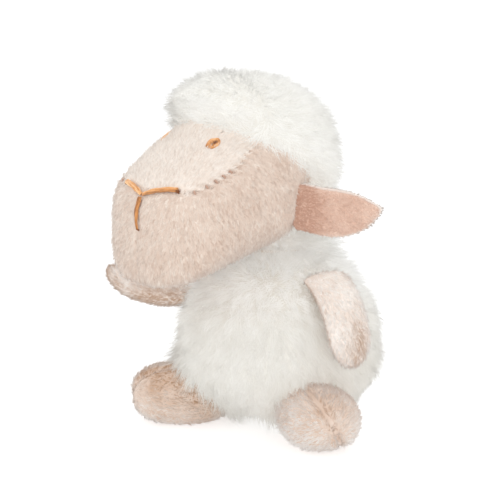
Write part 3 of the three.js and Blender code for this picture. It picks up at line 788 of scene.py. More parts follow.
# Cloth or thread: the shade of each point, with its patches, read along a ramp from dark to light.
def pileMaterial(name, finish):
    material = bpy.data.materials.new(name)
    material.use_nodes = True
    tree = material.node_tree
    shader = tree.nodes["Principled BSDF"]
    shader.inputs["Roughness"].default_value = finish.get("roughness", 0.9)
    shader.inputs["Specular IOR Level"].default_value = finish.get("specular", 0.12)
    shader.inputs["Sheen Weight"].default_value = finish.get("sheen", 0.15)
    tint = tree.nodes.new("ShaderNodeAttribute")
    tint.attribute_name = "shade"
    patches = tree.nodes.new("ShaderNodeGroup")
    patches.node_tree = mottle
    patches.inputs["Size"].default_value = finish.get("patchSize", 120)
    patches.inputs["Depth"].default_value = finish.get("patchDepth", 0.6)
    ramp = tree.nodes.new("ShaderNodeValToRGB")
    ramp.color_ramp.elements[0].color = (*linear(finish["dark"]), 1)
    ramp.color_ramp.elements[1].color = (*linear(finish["light"]), 1)
    if "middle" in finish:
        middle = ramp.color_ramp.elements.new(0.5)
        middle.color = (*linear(finish["middle"]), 1)
    tree.links.new(tint.outputs["Fac"], patches.inputs["Shade"])
    tree.links.new(patches.outputs["Value"], ramp.inputs["Fac"])
    tree.links.new(ramp.outputs["Color"], shader.inputs["Base Color"])
    return material


# A piece's material and body, and the nodes it stands for. Pile casts no shadow and bounces no light,
# because thousands of strands would darken each other.
def finishPiece(piece, material, body, nodes=()):
    piece.data.materials.append(materials[material])
    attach(piece, body)
    if nodes:
        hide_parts(*nodes)
    if "Pile" in piece.name:
        piece.visible_shadow = False
        piece.visible_diffuse = False


makeCamera()
makeLights()
makeFloor()
print("stage set")

finishes = {
    "longFleece": {
        "dark": (204, 200, 190),
        "light": (249, 249, 246),
        "patchSize": 70,
        "patchDepth": 0.5,
    },
    "facePlush": {"dark": (220, 204, 191), "light": (242, 233, 224), "patchSize": 160},
    "cheekPlush": {
        "dark": (194, 170, 154),
        "light": (234, 221, 209),
        "patchSize": 160,
        "sheen": 0.3,
    },
    "limbPlush": {
        "dark": (184, 148, 120),
        "light": (247, 241, 235),
        "patchSize": 110,
        "patchDepth": 0.8,
        "sheen": 0.5,
    },
    "earVelour": {
        "dark": (190, 148, 128),
        "light": (243, 214, 196),
        "patchSize": 260,
        "patchDepth": 0.6,
        "sheen": 0.4,
    },
    "earBacking": {"dark": (222, 208, 198), "light": (244, 236, 229), "patchSize": 120},
    "fibreFilling": {"dark": (225, 225, 222), "light": (248, 248, 246), "patchSize": 200},
    "pelletBag": {"dark": (196, 190, 180), "light": (222, 217, 208), "patchSize": 900},
    "sewingThread": {
        "dark": (196, 186, 174),
        "light": (236, 230, 222),
        "patchSize": 1500,
        "roughness": 0.6,
    },
    "embroideryThread": {
        "dark": (116, 64, 22),
        "middle": (214, 148, 84),
        "light": (246, 204, 150),
        "patchSize": 700,
        "patchDepth": 0.5,
        "roughness": 0.5,
        "specular": 0.35,
        "sheen": 0.3,
    },
    # Dark thread of the cheeks' seam stitches, partly painted shade in the seam's dimples.
    "seamShadeThread": {
        "dark": (160, 124, 106),
        "light": (204, 172, 154),
        "patchSize": 1500,
        "roughness": 0.7,
    },
}
materials = {name: pileMaterial(name, finish) for name, finish in finishes.items()}

armParts = {name: armForm(arms[name]) for name in ("left", "right")}
armLines = np.vstack([armParts[name]["line"][::8] for name in armParts])

feet = {
    "length": 33,
    "width": 24,
    "height": 20,
    "power": 2.3,
    "around": 58,
    "toe": 50,
    "reach": 30.5,
    "seamRoll": 28,
    "creaseDepth": 1.4,
    "creaseShare": 0.08,
    "creaseShadeWidth": 1.1,
    "creaseClear": 0.55,
    "shoulder": 1.3,
}


# The middle of a foot: its reach along its own direction from the seat, half a foot above the floor.
def footMiddle(side):
    around = math.radians(feet["around"])
    return np.array(
        [
            side * math.sin(around) * feet["reach"],
            -math.cos(around) * feet["reach"] - trunk["seatSetback"],
            feet["height"] / 2 - trunk["floorPress"],
        ]
    )


footMiddles = np.array([footMiddle(1), footMiddle(-1)])


# 1 where an arm lies over the trunk, and 0 well clear of it.
def underArm(points):
    return 1 - smooth(distanceTo(points, armLines), 7, 11)


# body
bodyPile = {
    "count": 17000,
    "perTuft": 26,
    "root": -1.7,
    "length": 4.6,
    "lengthSpread": 0.28,
    "tuftLengthSpread": 0.14,
    "width": 0.085,
    "lean": 57,
    "leanSpread": 14,
    "tuftLeanSpread": 7,
    "tuftTurn": 0.75,
    "strandTurn": 0.55,
    "pull": 0.4,
    "wave": 0.5,
    "steps": 2,
    "ownNormal": 2.0,
    "tilt": 0.5,
    "tuftShade": 0.04,
    "strandShade": 0.05,
    "tipShade": 0.15,
    "baseShade": 0.66,
}


# Down and a little outwards, and level and outwards where the body rises to the neck.
def downhill(points, normals):
    outward = unitOf((points + [0, trunk["seatSetback"], 0]) * [1, 1, 0])
    rise = smooth(points[:, 2], 42, 54)[:, None]
    return np.array([[0, 0, -1.0]]) * (1 - rise) + (0.3 + 0.7 * rise) * outward


# Longer round the neck and over the feet, shorter under the arms and low behind.
def bodyLength(points, normals):
    atNeck = smooth(points[:, 2], 42, 53)
    lowBehind = smooth(-points[:, 2], -26, -12) * smooth(points[:, 1], -20, -5)
    overFoot = 1 - smooth(distanceTo(points, footMiddles), 17, 23)
    length = (1 + 0.4 * atNeck) * (1 - 0.65 * underArm(points)) * (1 - 0.45 * lowBehind)
    return length * (1 + 0.55 * overFoot)


# Lighter towards the neck, painted light where the head's shade falls, and a little greyer below the
# chest, painted shade.
def bodyPaintedShade(points, normals):
    return 0.25 * smooth(points[:, 2], 38, 50) - 0.2 * smooth(-points[:, 2], -44, -34)


# Half as much lean at the neck as below it.
def bodyLean(points, normals):
    return 1 - 0.5 * smooth(points[:, 2], 42, 53)


quarters = {"splitAt": -12, "neckRadius": 10, "neckFrom": 40, "sole": -0.9}


# A quarter of the trunk, split across and along, without the patch under the neck and the sole.
def trunkQuarter(side, front):
    split = quarters["splitAt"]

    def region(points, normals):
        ahead = points[:, 1] < split if front else points[:, 1] >= split
        fromNeck = np.hypot(points[:, 0], points[:, 1] + trunk["neckSetforward"] + trunk["seatSetback"])
        clear = (fromNeck > quarters["neckRadius"]) | (points[:, 2] < quarters["neckFrom"])
        mine = (points[:, 0] * side >= 0) & (normals[:, 2] > quarters["sole"])
        return (ahead & clear & mine).astype(float)

    return region


bodyPile["lengthAt"] = bodyLength
bodyPile["leanAt"] = bodyLean
bodyPile["shadeAt"] = bodyPaintedShade
bodySkin = skinMesh("bodyBacking", trunkForm, -1.5)
bodyNodes = ["body_fleece_" + panel for panel in ("front", "back_left", "back_right", "seat")]
finishPiece(bodySkin, "longFleece", "torso", bodyNodes)
for name, side, front, seed in (
    ("bodyPileFrontLeft", 1, True, 11),
    ("bodyPileFrontRight", -1, True, 12),
    ("bodyPileBackLeft", 1, False, 13),
    ("bodyPileBackRight", -1, False, 14),
):
    piece = pileMesh(name, trunkForm, trunkQuarter(side, front), downhill, bodyPile, seed)
    finishPiece(piece, "longFleece", "torso")
print("body done")


closingSeam = {
    "stitches": 7,
    "pointsEach": 12,
    "length": 22,
    "middleHeight": 34,
    "width": 2.2,
    "radius": 0.45,
    "proud": 1.0,
    "plies": 2,
    "turns": 14,
}


# The hand stitches that close the back: a thread that crosses the seam from side to side, at
# -cos(pi s) of half its width after s stitches.
def closingThread():
    count = closingSeam["stitches"]
    steps = np.linspace(0, count, closingSeam["pointsEach"] * count + 1)
    height = closingSeam["middleHeight"] + closingSeam["length"] * (steps / count - 0.5)
    sideways = -np.cos(math.pi * steps) * closingSeam["width"] / 2
    behind = np.full_like(steps, trunk["radius"])
    directions = np.stack([sideways, behind, height - trunk["centreHeight"]], axis=1)
    line = trunkSurface(directions, closingSeam["proud"])
    normals = normalsOf(trunkForm, directions, 0)[0]
    plies, turns = closingSeam["plies"], closingSeam["turns"]
    return twistedCord("backClosingThread", line, normals, closingSeam["radius"], plies, turns)


finishPiece(closingThread(), "sewingThread", "torso", ["back_closing_thread"])

# neck
neck = {
    "radius": 11.5,
    "sunk": 0.3,
    "gathers": 22,
    "gatherDepth": 0.25,
    "beltHalf": 5,
    "threadRadius": 0.45,
    "threadGap": 0.4,
    "threadTurns": 30,
}


# The neck: a ball of cloth drawn into upright gathers, its radius plus a cosine of the turn about Z
# that fades towards the poles.
def neckSurface(directions, grow):
    unit = unitOf(directions)
    turn = np.arctan2(unit[:, 1], unit[:, 0])
    gather = neck["gatherDepth"] * np.cos(neck["gathers"] * turn) * (1 - unit[:, 2] ** 2)
    return unit * (neck["radius"] + grow - neck["sunk"] + gather)[:, None]


neckMiddle = np.array([0, -trunk["neckSetforward"] - trunk["seatSetback"], head["neckHeight"]])
neckForm = {"surface": neckSurface, "place": lambda p: p + neckMiddle, "turn": asTheyAre}
neckSkin = skinMesh("neckBall", neckForm, 0, rings=48, sides=132)
finishPiece(neckSkin, "fibreFilling", "neck", ["neck_filling"])


# The belt round the ball where its fluff grows.
def neckBelt(points, normals):
    return (np.abs(points[:, 2]) < neck["beltHalf"]).astype(float)


ruffPile = dict(bodyPile, count=5500, root=-0.5, length=12, lean=24, tuftTurn=2.5)
del ruffPile["lengthAt"], ruffPile["leanAt"], ruffPile["shadeAt"]
piece = pileMesh("neckPile", neckForm, neckBelt, downhill, ruffPile, 15)
finishPiece(piece, "longFleece", "neck")


# The drawn thread: a ring round the neck, where the trunk's cloth meets it.
def neckThread():
    turn = np.linspace(0, 2 * math.pi, 161)
    radius = neck["radius"] + neck["threadGap"] + neck["threadRadius"]
    flat = np.stack([np.cos(turn), np.sin(turn), 0 * turn], axis=1)
    line = flat * radius + [neckMiddle[0], neckMiddle[1], neckThreadHeight()]
    return twistedCord("neckSeamThread", line, flat, neck["threadRadius"], 2, neck["threadTurns"])


# The height of that ring: that of the trunk's surface in the ring's own direction.
def neckThreadHeight():
    radius = neck["radius"] + neck["threadGap"] + neck["threadRadius"]
    direction = np.array([[radius, 0, trunk["upperRise"]]])
    return trunkSurface(direction, neck["threadGap"] + neck["threadRadius"])[0, 2]


finishPiece(neckThread(), "sewingThread", "torso", ["neck_seam_thread"])
print("neck done")

# head


# How far above the cheeks' seam a point lies, square to it: (z - rise - slope y + dip) over
# sqrt(1 + slope^2).
def aboveSeam(points):
    slope = math.hypot(1, head["seamSlope"])
    straight = points[:, 2] - head["seamRise"] - head["seamSlope"] * points[:, 1]
    return (straight + seamDip(points[:, 0], -points[:, 1])) / slope


# How far the seam hangs below its straight line: not at the wig, fully along the muzzle, and less
# over the mouth, where its strokes cover it.
def seamDip(across, ahead):
    corner, fade = mouth["halfWidth"], head["dipFade"]
    beside = smooth(np.abs(across), corner - fade, corner + fade)
    deep = head["mouthDip"] + (head["seamDip"] - head["mouthDip"]) * beside
    return deep * smooth(ahead, head["dipStart"], head["dipEnd"])


# The point of the face over a place given by its sideways and upward distance from the skull's
# middle, found by halving.
def facePoint(x, z, lift=0.0):
    x, z = np.broadcast_arrays(np.asarray(x, float), np.asarray(z, float))
    wellOutside, halvings = 120.0, 30
    near, far = np.zeros(x.shape), np.full(x.shape, wellOutside)
    for _ in range(halvings):
        middle = (near + far) / 2
        offset = np.stack([x, -middle, z], axis=-1) - faceMiddle
        reach = np.linalg.norm(skullSurface(offset, lift) - faceMiddle, axis=1)
        inside = np.linalg.norm(offset, axis=1) < reach
        near, far = np.where(inside, middle, near), np.where(inside, far, middle)
    return np.stack([x, -near, z], axis=-1)


# The cross product of two small steps over the face, sideways and upwards.
def faceNormal(x, z, step=0.05):
    here = facePoint(x, z)
    return unitOf(np.cross(facePoint(x + step, z) - here, facePoint(x, z + step) - here))


mouth = {
    "halfWidth": 13.5,
    "middleDrop": 7,
    "cornerDrop": 4.6,
    "chinGap": 0.9,
    "chinLength": 9.9,
    "chinBow": 1.4,
    "farShorter": 1.5,
    "cordRadius": 0.33,
    "cordSpacing": 0.52,
    "turns": 1.3,
    "start": 0.4,
    "points": 60,
    "lift": 0.95,
    "clear": 0.75,
}

cheekSeam = {
    "pitch": 2.7,
    "width": 0.9,
    "depth": 0.4,
    "dimple": 0.75,
    "puff": 0.8,
    "puffDrop": 0.9,
    "puffSpan": 1.1,
    "puffHeight": 0.55,
    "stitchLength": 1.5,
    "stitchRadius": 0.3,
}

chinSeam = {"width": 0.7, "depth": 0.5, "fade": 3}

eyes = {
    "length": 4.1,
    "height": 2.7,
    "spacing": 24,
    "shift": -0.8,
    "rise": 7.6,
    "threads": 11,
    "tilt": -28,
    "clear": 1.8,
    "threadRadius": 0.21,
    "lift": 0.04,
    "dome": 0.42,
    "spread": 0.86,
    "spotAt": (0.3, 0.35),
    "spotSize": (0.28, 0.42),
}


# Where a stroke runs, sideways and upwards: the two sides rise to their corners by the square of
# what is left of the way, and the chin's drops evenly and bows by the square of its share.
def strokePlaces(kind):
    share = np.linspace(0, 1, mouth["points"])
    if kind == "chin":
        drop = mouth["middleDrop"] + mouth["chinGap"] + mouth["chinLength"] * share
        return mouth["chinBow"] * share**2, -drop
    side = 1 if kind == "left" else -1
    reach = mouth["halfWidth"] - (0 if kind == "left" else mouth["farShorter"])
    across = mouth["start"] + (reach - mouth["start"]) * share
    sag = (mouth["middleDrop"] - mouth["cornerDrop"]) * (1 - share) ** 2
    return side * across, -(mouth["cornerDrop"] + sag)


strokeLines = np.vstack([facePoint(*strokePlaces(kind)) for kind in ("left", "right", "chin")])


# The outline of an eye, as shares of its size: sqrt(1 - s^2), narrowed towards its inner corner.
def eyeHalf(share):
    return np.sqrt(np.maximum(0, 1 - share**2)) * np.minimum(1, 0.45 + 0.75 * (share + 1))


# A place on an eye, along and up its own axes, turned by its tilt about the eye's middle.
def eyePlace(side, along, up):
    tilt = math.radians(eyes["tilt"])
    x = along * math.cos(tilt) - up * math.sin(tilt)
    z = along * math.sin(tilt) + up * math.cos(tilt)
    return side * (eyes["spacing"] / 2 + x) + eyes["shift"], eyes["rise"] + z


eyeMiddles = facePoint(*eyePlace(np.array([1.0, -1.0]), np.zeros(2), np.zeros(2)))


# False on the embroidery, where no pile grows, and true beside it.
def clearOfStitches(points):
    stroke = distanceTo(points, strokeLines) > mouth["clear"]
    eye = distanceTo(points, eyeMiddles) > eyes["clear"]
    return stroke & eye


# Where a point lies within its stitch of the cheeks' seam, from -0.5 to 0.5 with the dimple at 0,
# and 1 where the seam shows: beside the mouth and ahead of the wig.
def seamPhase(points):
    along = np.hypot(points[:, 1], points[:, 2] - head["seamRise"]) + 0.5 * np.abs(points[:, 0])
    behindMouth = smooth(np.abs(points[:, 0]), mouth["halfWidth"] - 1, mouth["halfWidth"] + 2)
    return (along / cheekSeam["pitch"]) % 1 - 0.5, behindMouth * smooth(-behindEdge(points), -1, 1)


# 1 in the dimple of each stitch of the seam, and 0 between them.
def seamDimple(points):
    phase, seen = seamPhase(points)
    size = cheekSeam["dimple"]
    return seen * np.exp(-((phase * cheekSeam["pitch"] / size) ** 2) - (aboveSeam(points) / size) ** 2)


# 1 on the small puffs that stand up between the dimples, on the cheek's side of the seam.
def seamPuff(points):
    phase, seen = seamPhase(points)
    between = np.abs(phase) - 0.5
    size = cheekSeam["puff"]
    lower = (aboveSeam(points) + cheekSeam["puffDrop"]) / cheekSeam["puffSpan"]
    return seen * np.exp(-((between * cheekSeam["pitch"] / size) ** 2) - lower**2)


# The seams of the face draw its cloth in: along the cheeks, deeper at each stitch, and down the chin.
def drawnIn(points):
    seam = np.exp(-((aboveSeam(points) / cheekSeam["width"]) ** 2))
    chin = np.exp(-((points[:, 0] / chinSeam["width"]) ** 2))
    chin = chin * np.clip(-aboveSeam(points) / chinSeam["fade"], 0, 1)
    puffs = cheekSeam["puffHeight"] * seamPuff(points)
    return cheekSeam["depth"] * seam + seamDimple(points) - puffs + chinSeam["depth"] * chin


# The face: the skull's reach and its growth, less what the seams draw in.
def faceSurface(directions, grow):
    points = skullSurface(directions, 0)
    return points + unitOf(directions) * (grow - drawnIn(points))[:, None]


faceForm = {"surface": faceSurface, "place": fromSkull, "turn": turnOnly}


# One half of the wig's pile, which reaches a little past its edge.
def wigSide(side):
    def region(points, normals):
        return ((behindEdge(points) > -0.9) & (points[:, 0] * side >= 0)).astype(float)

    return region


# The upper face's pile: ahead of the wig, above the seam, off the stitches and thin in the dimples.
def faceTop(points, normals):
    seen = (behindEdge(points) < 1.5) & (aboveSeam(points) > -0.3) & clearOfStitches(points)
    return seen * (1 - 0.8 * seamDimple(points))


# One cheek's pile: the same below the seam, parted down the chin.
def cheekSide(side):
    def region(points, normals):
        seen = (aboveSeam(points) < 0.1) & (behindEdge(points) < 1.5) & clearOfStitches(points)
        chin = np.abs(points[:, 0]) > 0.2
        return (seen & chin & (points[:, 0] * side >= 0)) * (1 - 0.8 * seamDimple(points))

    return region


# Over the brow the wig is combed forwards, and behind it falls back and down.
def wigFlow(points, normals):
    ahead = np.clip((-points[:, 1] - 2) / 14, 0, 1)[:, None]
    back = np.array([[0, 0.8, -0.75]]) + 0.4 * points * [[0.03, 0, 0]]
    forward = np.array([[0, -1.0, 0.05]]) + points * [[0.02, 0, 0]]
    return ahead * forward + (1 - ahead) * back


# The cheeks are brushed down and a little back.
def cheekFlow(points, normals):
    return np.tile([0, 0.25, -1.0], (len(points), 1))


# The upper face is brushed back and up, a little to either side.
def browFlow(points, normals):
    return np.array([[0, 0.9, 0.6]]) + points * [[0.02, 0, 0]]


# Shorter on the very top: 1 less a third where the normal points up.
def crownLength(points, normals):
    return 1 - 0.35 * smooth(normals[:, 2], 0.5, 0.95)


headPile = dict(bodyPile, perTuft=14, root=-2.1, length=4.1, lean=48, tuftTurn=1.1, pull=0.3)
del headPile["leanAt"], headPile["shadeAt"]
headPile["lengthAt"] = crownLength
minkyPile = {
    "count": 24500,
    "perTuft": 5,
    "root": 0.1,
    "length": 1.25,
    "lengthSpread": 0.2,
    "tuftLengthSpread": 0.2,
    "width": 0.11,
    "lean": 62,
    "leanSpread": 9,
    "tuftLeanSpread": 12,
    "tuftTurn": 0.16,
    "strandTurn": 0.14,
    "pull": 0.8,
    "wave": 0.1,
    "steps": 1,
    "ownNormal": 1.0,
    "aheadNormal": 0.3,
    "tilt": 0.4,
    "tuftShade": 0.2,
    "strandShade": 0.08,
    "tipShade": 0.4,
}


# Each panel's backing is a closed skin of the whole head that stands out in its own panel only, and
# sinks below its neighbours elsewhere, so that the panels meet in a crease.
def facePanel(above, sunk):
    def shape(points, directions):
        own = smooth(-behindEdge(points), -2.5, -1.5) * smooth(above * aboveSeam(points), -0.7, 0.3)
        lift = (0.1 - drawnIn(points)) * own - sunk * (1 - own)
        return points + unitOf(directions) * lift[:, None]

    return shape


# The same for the wig, which stands out by its own lift.
def wigShape(points, directions):
    unit = unitOf(directions)
    own = smooth(behindEdge(points), -1.6, -0.6)
    lift = (wigLift(unit, points) - 1.9) * own - 3.4 * (1 - own)
    return points + unit * lift[:, None]


for name, shape, material, slot, nodes in (
    ("faceTopBacking", facePanel(1, 1.4), "facePlush", "face_plush", ["face_top_panel"]),
    ("cheekBacking", facePanel(-1, 1.7), "cheekPlush", "cheek_plush", ["cheek_left", "cheek_right"]),
    ("wigBacking", wigShape, "longFleece", "long_fleece", ["head_fleece_left", "head_fleece_right"]),
):
    skin = skinMesh(name, headForm, 0, rings=110, sides=160, shape=shape)
    finishPiece(skin, material, "head", nodes)


# Lighter ahead and darker low down, with painted shade in the dimples and painted light on the puffs.
def cheekShade(points, normals):
    front = 0.16 * smooth(-points[:, 1], 30, 42)
    low = 0.16 * smooth(-points[:, 2], 12, 26)
    return front - low - 0.9 * seamDimple(points) + 0.3 * seamPuff(points)


# Painted shade in the dimples of the seam.
def browShade(points, normals):
    return -0.9 * seamDimple(points)


for name, side, seed in (("headPileLeft", 1, 21), ("headPileRight", -1, 22)):
    piece = pileMesh(name, wigForm, wigSide(side), wigFlow, headPile, seed)
    finishPiece(piece, "longFleece", "head")
topPile = dict(minkyPile, count=22000, lean=66, baseShade=0.6, shadeAt=browShade)
piece = pileMesh("faceTopPile", faceForm, faceTop, browFlow, topPile, 23)
finishPiece(piece, "facePlush", "head")
cheekPile = dict(minkyPile, shadeAt=cheekShade)
for name, side, seed in (("cheekPileLeft", 1, 24), ("cheekPileRight", -1, 25)):
    piece = pileMesh(name, faceForm, cheekSide(side), cheekFlow, cheekPile, seed)
    finishPiece(piece, "cheekPlush", "head")
print("head done")


# The stitches of the cheeks' seams: short threads that cross it, one in the middle of each dimple.
# Their dark colour is painted shade, standing in for the shade in the dimples.
def seamStitches():
    across = np.linspace(mouth["halfWidth"] + 0.8, head["halfWidth"] - 0.2, 600)
    lines, ups = [], []
    for side in (1, -1):
        x = side * across
        y = -facePoint(x, np.full_like(x, 0.0))[:, 1]
        for _ in range(12):
            z = head["seamRise"] - head["seamSlope"] * y - seamDip(x, y)
            y = -facePoint(x, z)[:, 1]
        seam = facePoint(x, z)
        normals = faceNormal(x, z)
        phase = seamPhase(seam)[0]
        middle = np.nonzero((phase[:-1] < 0) != (phase[1:] < 0))[0]
        middle = middle[(np.abs(phase[middle]) < 0.2) & (behindEdge(seam[middle]) < -0.6)]
        up = np.cross(normals[middle], unitOf(np.gradient(seam, axis=0))[middle])
        share = np.linspace(-1, 1, 9)[None, :, None]
        line = seam[middle][:, None] + share * cheekSeam["stitchLength"] / 2 * up[:, None]
        line = line + normals[middle][:, None] * (0.1 - 0.7 * share**2)
        lines.append(line)
        ups.append(np.broadcast_to(normals[middle][:, None], line.shape))
    lines, ups = np.vstack(lines), np.vstack(ups)
    radii = np.full(lines.shape[:2], cheekSeam["stitchRadius"])
    shade = np.full(radii.shape, 0.5)
    return tubes("cheekSeamShadeStitches", fromSkullRows(lines), radii, turnRows(ups), shade)


# A stroke of the mouth: three cords laid side by side, each of two plies, drawn together at the ends.
def stroke(name, kind):
    x, z = strokePlaces(kind)
    line = facePoint(x, z, mouth["lift"])
    normals = faceNormal(x, z)
    along = unitOf(np.gradient(line, axis=0))
    beside = np.cross(normals, along)
    share = np.linspace(0, 1, len(line))
    sink = 0.9 * smooth(share, 0.94, 1.0)
    if kind == "chin":
        taper = 1 - 0.75 * smooth(share, 0.35, 1.0)
    else:
        taper = 1 - 0.35 * smooth(share, 0.3, 0)
        sink = sink + 0.2 * smooth(share, 0.1, 0)
    lines, radii, ups = [], [], []
    for k in (-1, 0, 1):
        offset = k * mouth["cordSpacing"] * taper
        centre = line + beside * offset[:, None] - normals * (sink + 0.12 * abs(k))[:, None]
        for ply in (0, 1):
            turn = 2 * math.pi * (ply / 2 + mouth["turns"] * share + 0.17 * k)
            push = 0.42 * mouth["cordRadius"]
            swirl = np.cos(turn)[:, None] * beside + np.sin(turn)[:, None] * normals
            lines.append(centre + push * swirl)
            radii.append(0.72 * mouth["cordRadius"] * (0.55 + 0.45 * taper))
            ups.append(normals)
    random = np.random.default_rng(len(name))
    shade = np.repeat(0.52 + 0.2 * random.normal(size=(6, 1)), len(line), axis=1)
    # Painted shade over each cord's last tenth, where the stroke sinks into the pile; the chin's stroke
    # is a little darker all along.
    shade -= 0.6 * smooth(share, 0.91, 1.0)[None] + (0.16 if kind == "chin" else 0)
    return tubes(name, fromSkullRows(lines), np.array(radii), turnRows(ups), shade)


# Rows of lines moved from the skull's axes to the toy's.
def fromSkullRows(lines):
    rows = np.array(lines)
    return fromSkull(rows.reshape(-1, 3)).reshape(rows.shape)


# Rows of directions turned with the head.
def turnRows(ups):
    rows = np.array(ups)
    return turnOnly(rows.reshape(-1, 3)).reshape(rows.shape)


finishPiece(seamStitches(), "seamShadeThread", "head")
for name, kind, node in (
    ("mouthStitchLeft", "left", "mouth_stitch_left"),
    ("mouthStitchRight", "right", "mouth_stitch_right"),
    ("chinStitch", "chin", "chin_stitch"),
):
    finishPiece(stroke(name, kind), "embroideryThread", "head", [node])


# An eye: threads that all run between its two corners, spread over an almond and raised in the middle,
# with a dark spot near its upper outer edge.
def eye(name, side):
    share = np.linspace(-1, 1, 41)
    lines, radii, ups, shade = [], [], [], []
    random = np.random.default_rng(7 + side)
    for k in range(eyes["threads"]):
        across = 2 * k / (eyes["threads"] - 1) - 1
        up = eyes["spread"] * across * eyeHalf(share) * eyes["height"] / 2
        x, z = eyePlace(side, share * eyes["length"] / 2, up)
        dome = np.sqrt(np.maximum(0, 1 - share**2)) * math.sqrt(max(0.0, 1 - 0.8 * across**2))
        normals = faceNormal(x, z)
        raised = eyes["lift"] + eyes["dome"] * dome
        lines.append(facePoint(x, z, 0) + normals * raised[:, None])
        thinning = 0.5 + 0.5 * np.sqrt(1 - 0.98 * share**2)
        radii.append(np.full(len(share), eyes["threadRadius"]) * thinning)
        ups.append(normals)
        besideSpot = (share - eyes["spotAt"][0]) / eyes["spotSize"][0]
        aboveSpot = (across - eyes["spotAt"][1]) / eyes["spotSize"][1]
        spot = np.exp(-(besideSpot**2) - aboveSpot**2)
        rim = 0.22 * abs(across) ** 4 + 0.2 * np.abs(share) ** 6
        shade.append(0.66 + 0.1 * random.normal() - 0.8 * spot - rim)
    return tubes(name, fromSkullRows(lines), np.array(radii), turnRows(ups), np.array(shade))


for name, side in (("left", 1), ("right", -1)):
    title = name.capitalize()
    piece = eye("eye" + title, side)
    finishPiece(piece, "embroideryThread", "head", ["eye_" + name])
print("embroidery done")

# ears
ear = {
    "length": 28,
    "width": 15,
    "thickness": 1.95,
    "gap": 0.12,
    "sweep": 27,
    "rootDrop": 13,
    "spread": 22,
    "setforward": 1,
    "frontInset": 0.35,
    "backWider": 0.55,
    "cup": 1.1,
    "belly": 0.62,
    "middle": (12.5, -0.6),
    "outline": [
        (0, 0.46),
        (0.35, 0.44),
        (0.7, 0.36),
        (0.92, 0.2),
        (1.0, 0.1),
        (0.93, -0.2),
        (0.75, -0.62),
        (0.45, -0.84),
        (0.15, -0.72),
        (0, -0.5),
    ],
}


# A smooth closed line through the outline's corners, by the Catmull-Rom rule, as a size at each angle.
def earRim():
    corners = np.array(ear["outline"]) * [ear["length"], ear["width"]]
    corners[:, 1] *= np.where(corners[:, 1] < 0, ear["belly"], 1)
    share = (np.arange(20) / 20)[None, :, None]
    before, here, after, last = (np.roll(corners, k, axis=0)[:, None] for k in (1, 0, -1, -2))
    curve = 0.5 * (
        2 * here
        + (after - before) * share
        + (2 * before - 5 * here + 4 * after - last) * share**2
        + (3 * here - before - 3 * after + last) * share**3
    )
    fromMiddle = curve.reshape(-1, 2) - ear["middle"]
    angle = np.arctan2(fromMiddle[:, 1], fromMiddle[:, 0])
    order = np.argsort(angle)
    return angle[order], np.hypot(*fromMiddle.T)[order]


rimAngle, rimSize = earRim()


# A leaf of an ear: a flat pillow over the outline, its outer face domed, its inner face flat.
# It is cupped along its length by the square of a sine.
def earForm(side, front):
    sweep = math.radians(ear["sweep"])
    along = np.array([side * math.cos(sweep), math.sin(sweep), 0])
    up = np.array([0, 0, 1.0])
    back = -side * np.cross(along, up)
    out = -back if front else back
    handed = np.sign(np.cross(along, up) @ out)
    root = np.array([side * ear["spread"], -ear["setforward"], -ear["rootDrop"]], float)

    def surface(directions, grow):
        unit = unitOf(directions)
        angle = handed * np.arctan2(unit[:, 1], unit[:, 0])
        flat = np.hypot(unit[:, 0], unit[:, 1])
        rim = np.interp(angle, rimAngle, rimSize, period=2 * math.pi)
        size = flat**0.8 * (rim - ear["frontInset"] + (0 if front else ear["backWider"]) + grow)
        u = ear["middle"][0] + size * np.cos(angle)
        v = ear["middle"][1] + size * np.sin(angle)
        dome = np.sign(unit[:, 2]) * np.abs(unit[:, 2]) ** 0.6
        thick = np.where(dome > 0, (ear["thickness"] + grow) * dome, 0.1 * dome)
        cup = ear["cup"] * np.sin(math.pi * np.clip(u / ear["length"], 0, 1)) ** 2
        offset = ear["gap"] + thick - (cup if front else -cup) * 0.5
        return root + u[:, None] * along + v[:, None] * up + offset[:, None] * out

    def flow(points, normals):
        return np.tile(along + [0, 0, -0.25], (len(points), 1))

    def region(points, normals):
        offset = points - faceMiddle
        reach = np.linalg.norm(skullSurface(offset, 0) - faceMiddle, axis=1)
        outside = np.linalg.norm(offset, axis=1) > reach - 0.5
        return (outside & (normals @ out > 0.25)).astype(float)

    # The velour is browner at its root, with painted shade in its fold where it meets the head, and
    # paler towards the tip and along the rim.
    def shadeAt(points, normals):
        u = (points - root) @ along / ear["length"]
        v = (points - root) @ up
        edge = smooth(np.abs(v + 0.6), 4.8, 7.2)
        foldShade = smooth(-u, -0.32, -0.18) + smooth(-u, -0.17, -0.08)
        rootToTip = 0.5 * (smooth(u, 0.1, 0.55) - 1.0) + 0.3 * smooth(u, 0.75, 1.0)
        return rootToTip + 0.4 * edge - 0.5 * foldShade

    form = {"surface": surface, "place": fromSkull, "turn": turnOnly}
    return form, flow, region, shadeAt


velourPile = dict(
    minkyPile,
    count=9000,
    length=0.9,
    lean=62,
    tuftTurn=0.6,
    width=0.095,
    perTuft=7,
    tuftShade=0.09,
    tipShade=0.22,
    ownNormal=2.2,
    aheadNormal=1.2,
)
for name, side in (("left", 1), ("right", -1)):
    for layer, front, material, slot in (
        ("front", True, "earVelour", "ear_velour"),
        ("back", False, "earBacking", "ear_backing"),
    ):
        form, flow, region, shadeAt = earForm(side, front)
        title = "ear" + name.capitalize() + layer.capitalize()
        skin = skinMesh(title + "Leaf", form, 0, rings=36, sides=90)
        finishPiece(skin, material, "ear_" + name, ["ear_%s_%s" % (name, layer)])
        look = dict(velourPile, shadeAt=shadeAt) if front else velourPile
        seed = 51 + 2 * front + (side > 0)
        piece = pileMesh(title + "Pile", form, region, flow, look, seed)
        finishPiece(piece, material, "ear_" + name)
print("ears done")

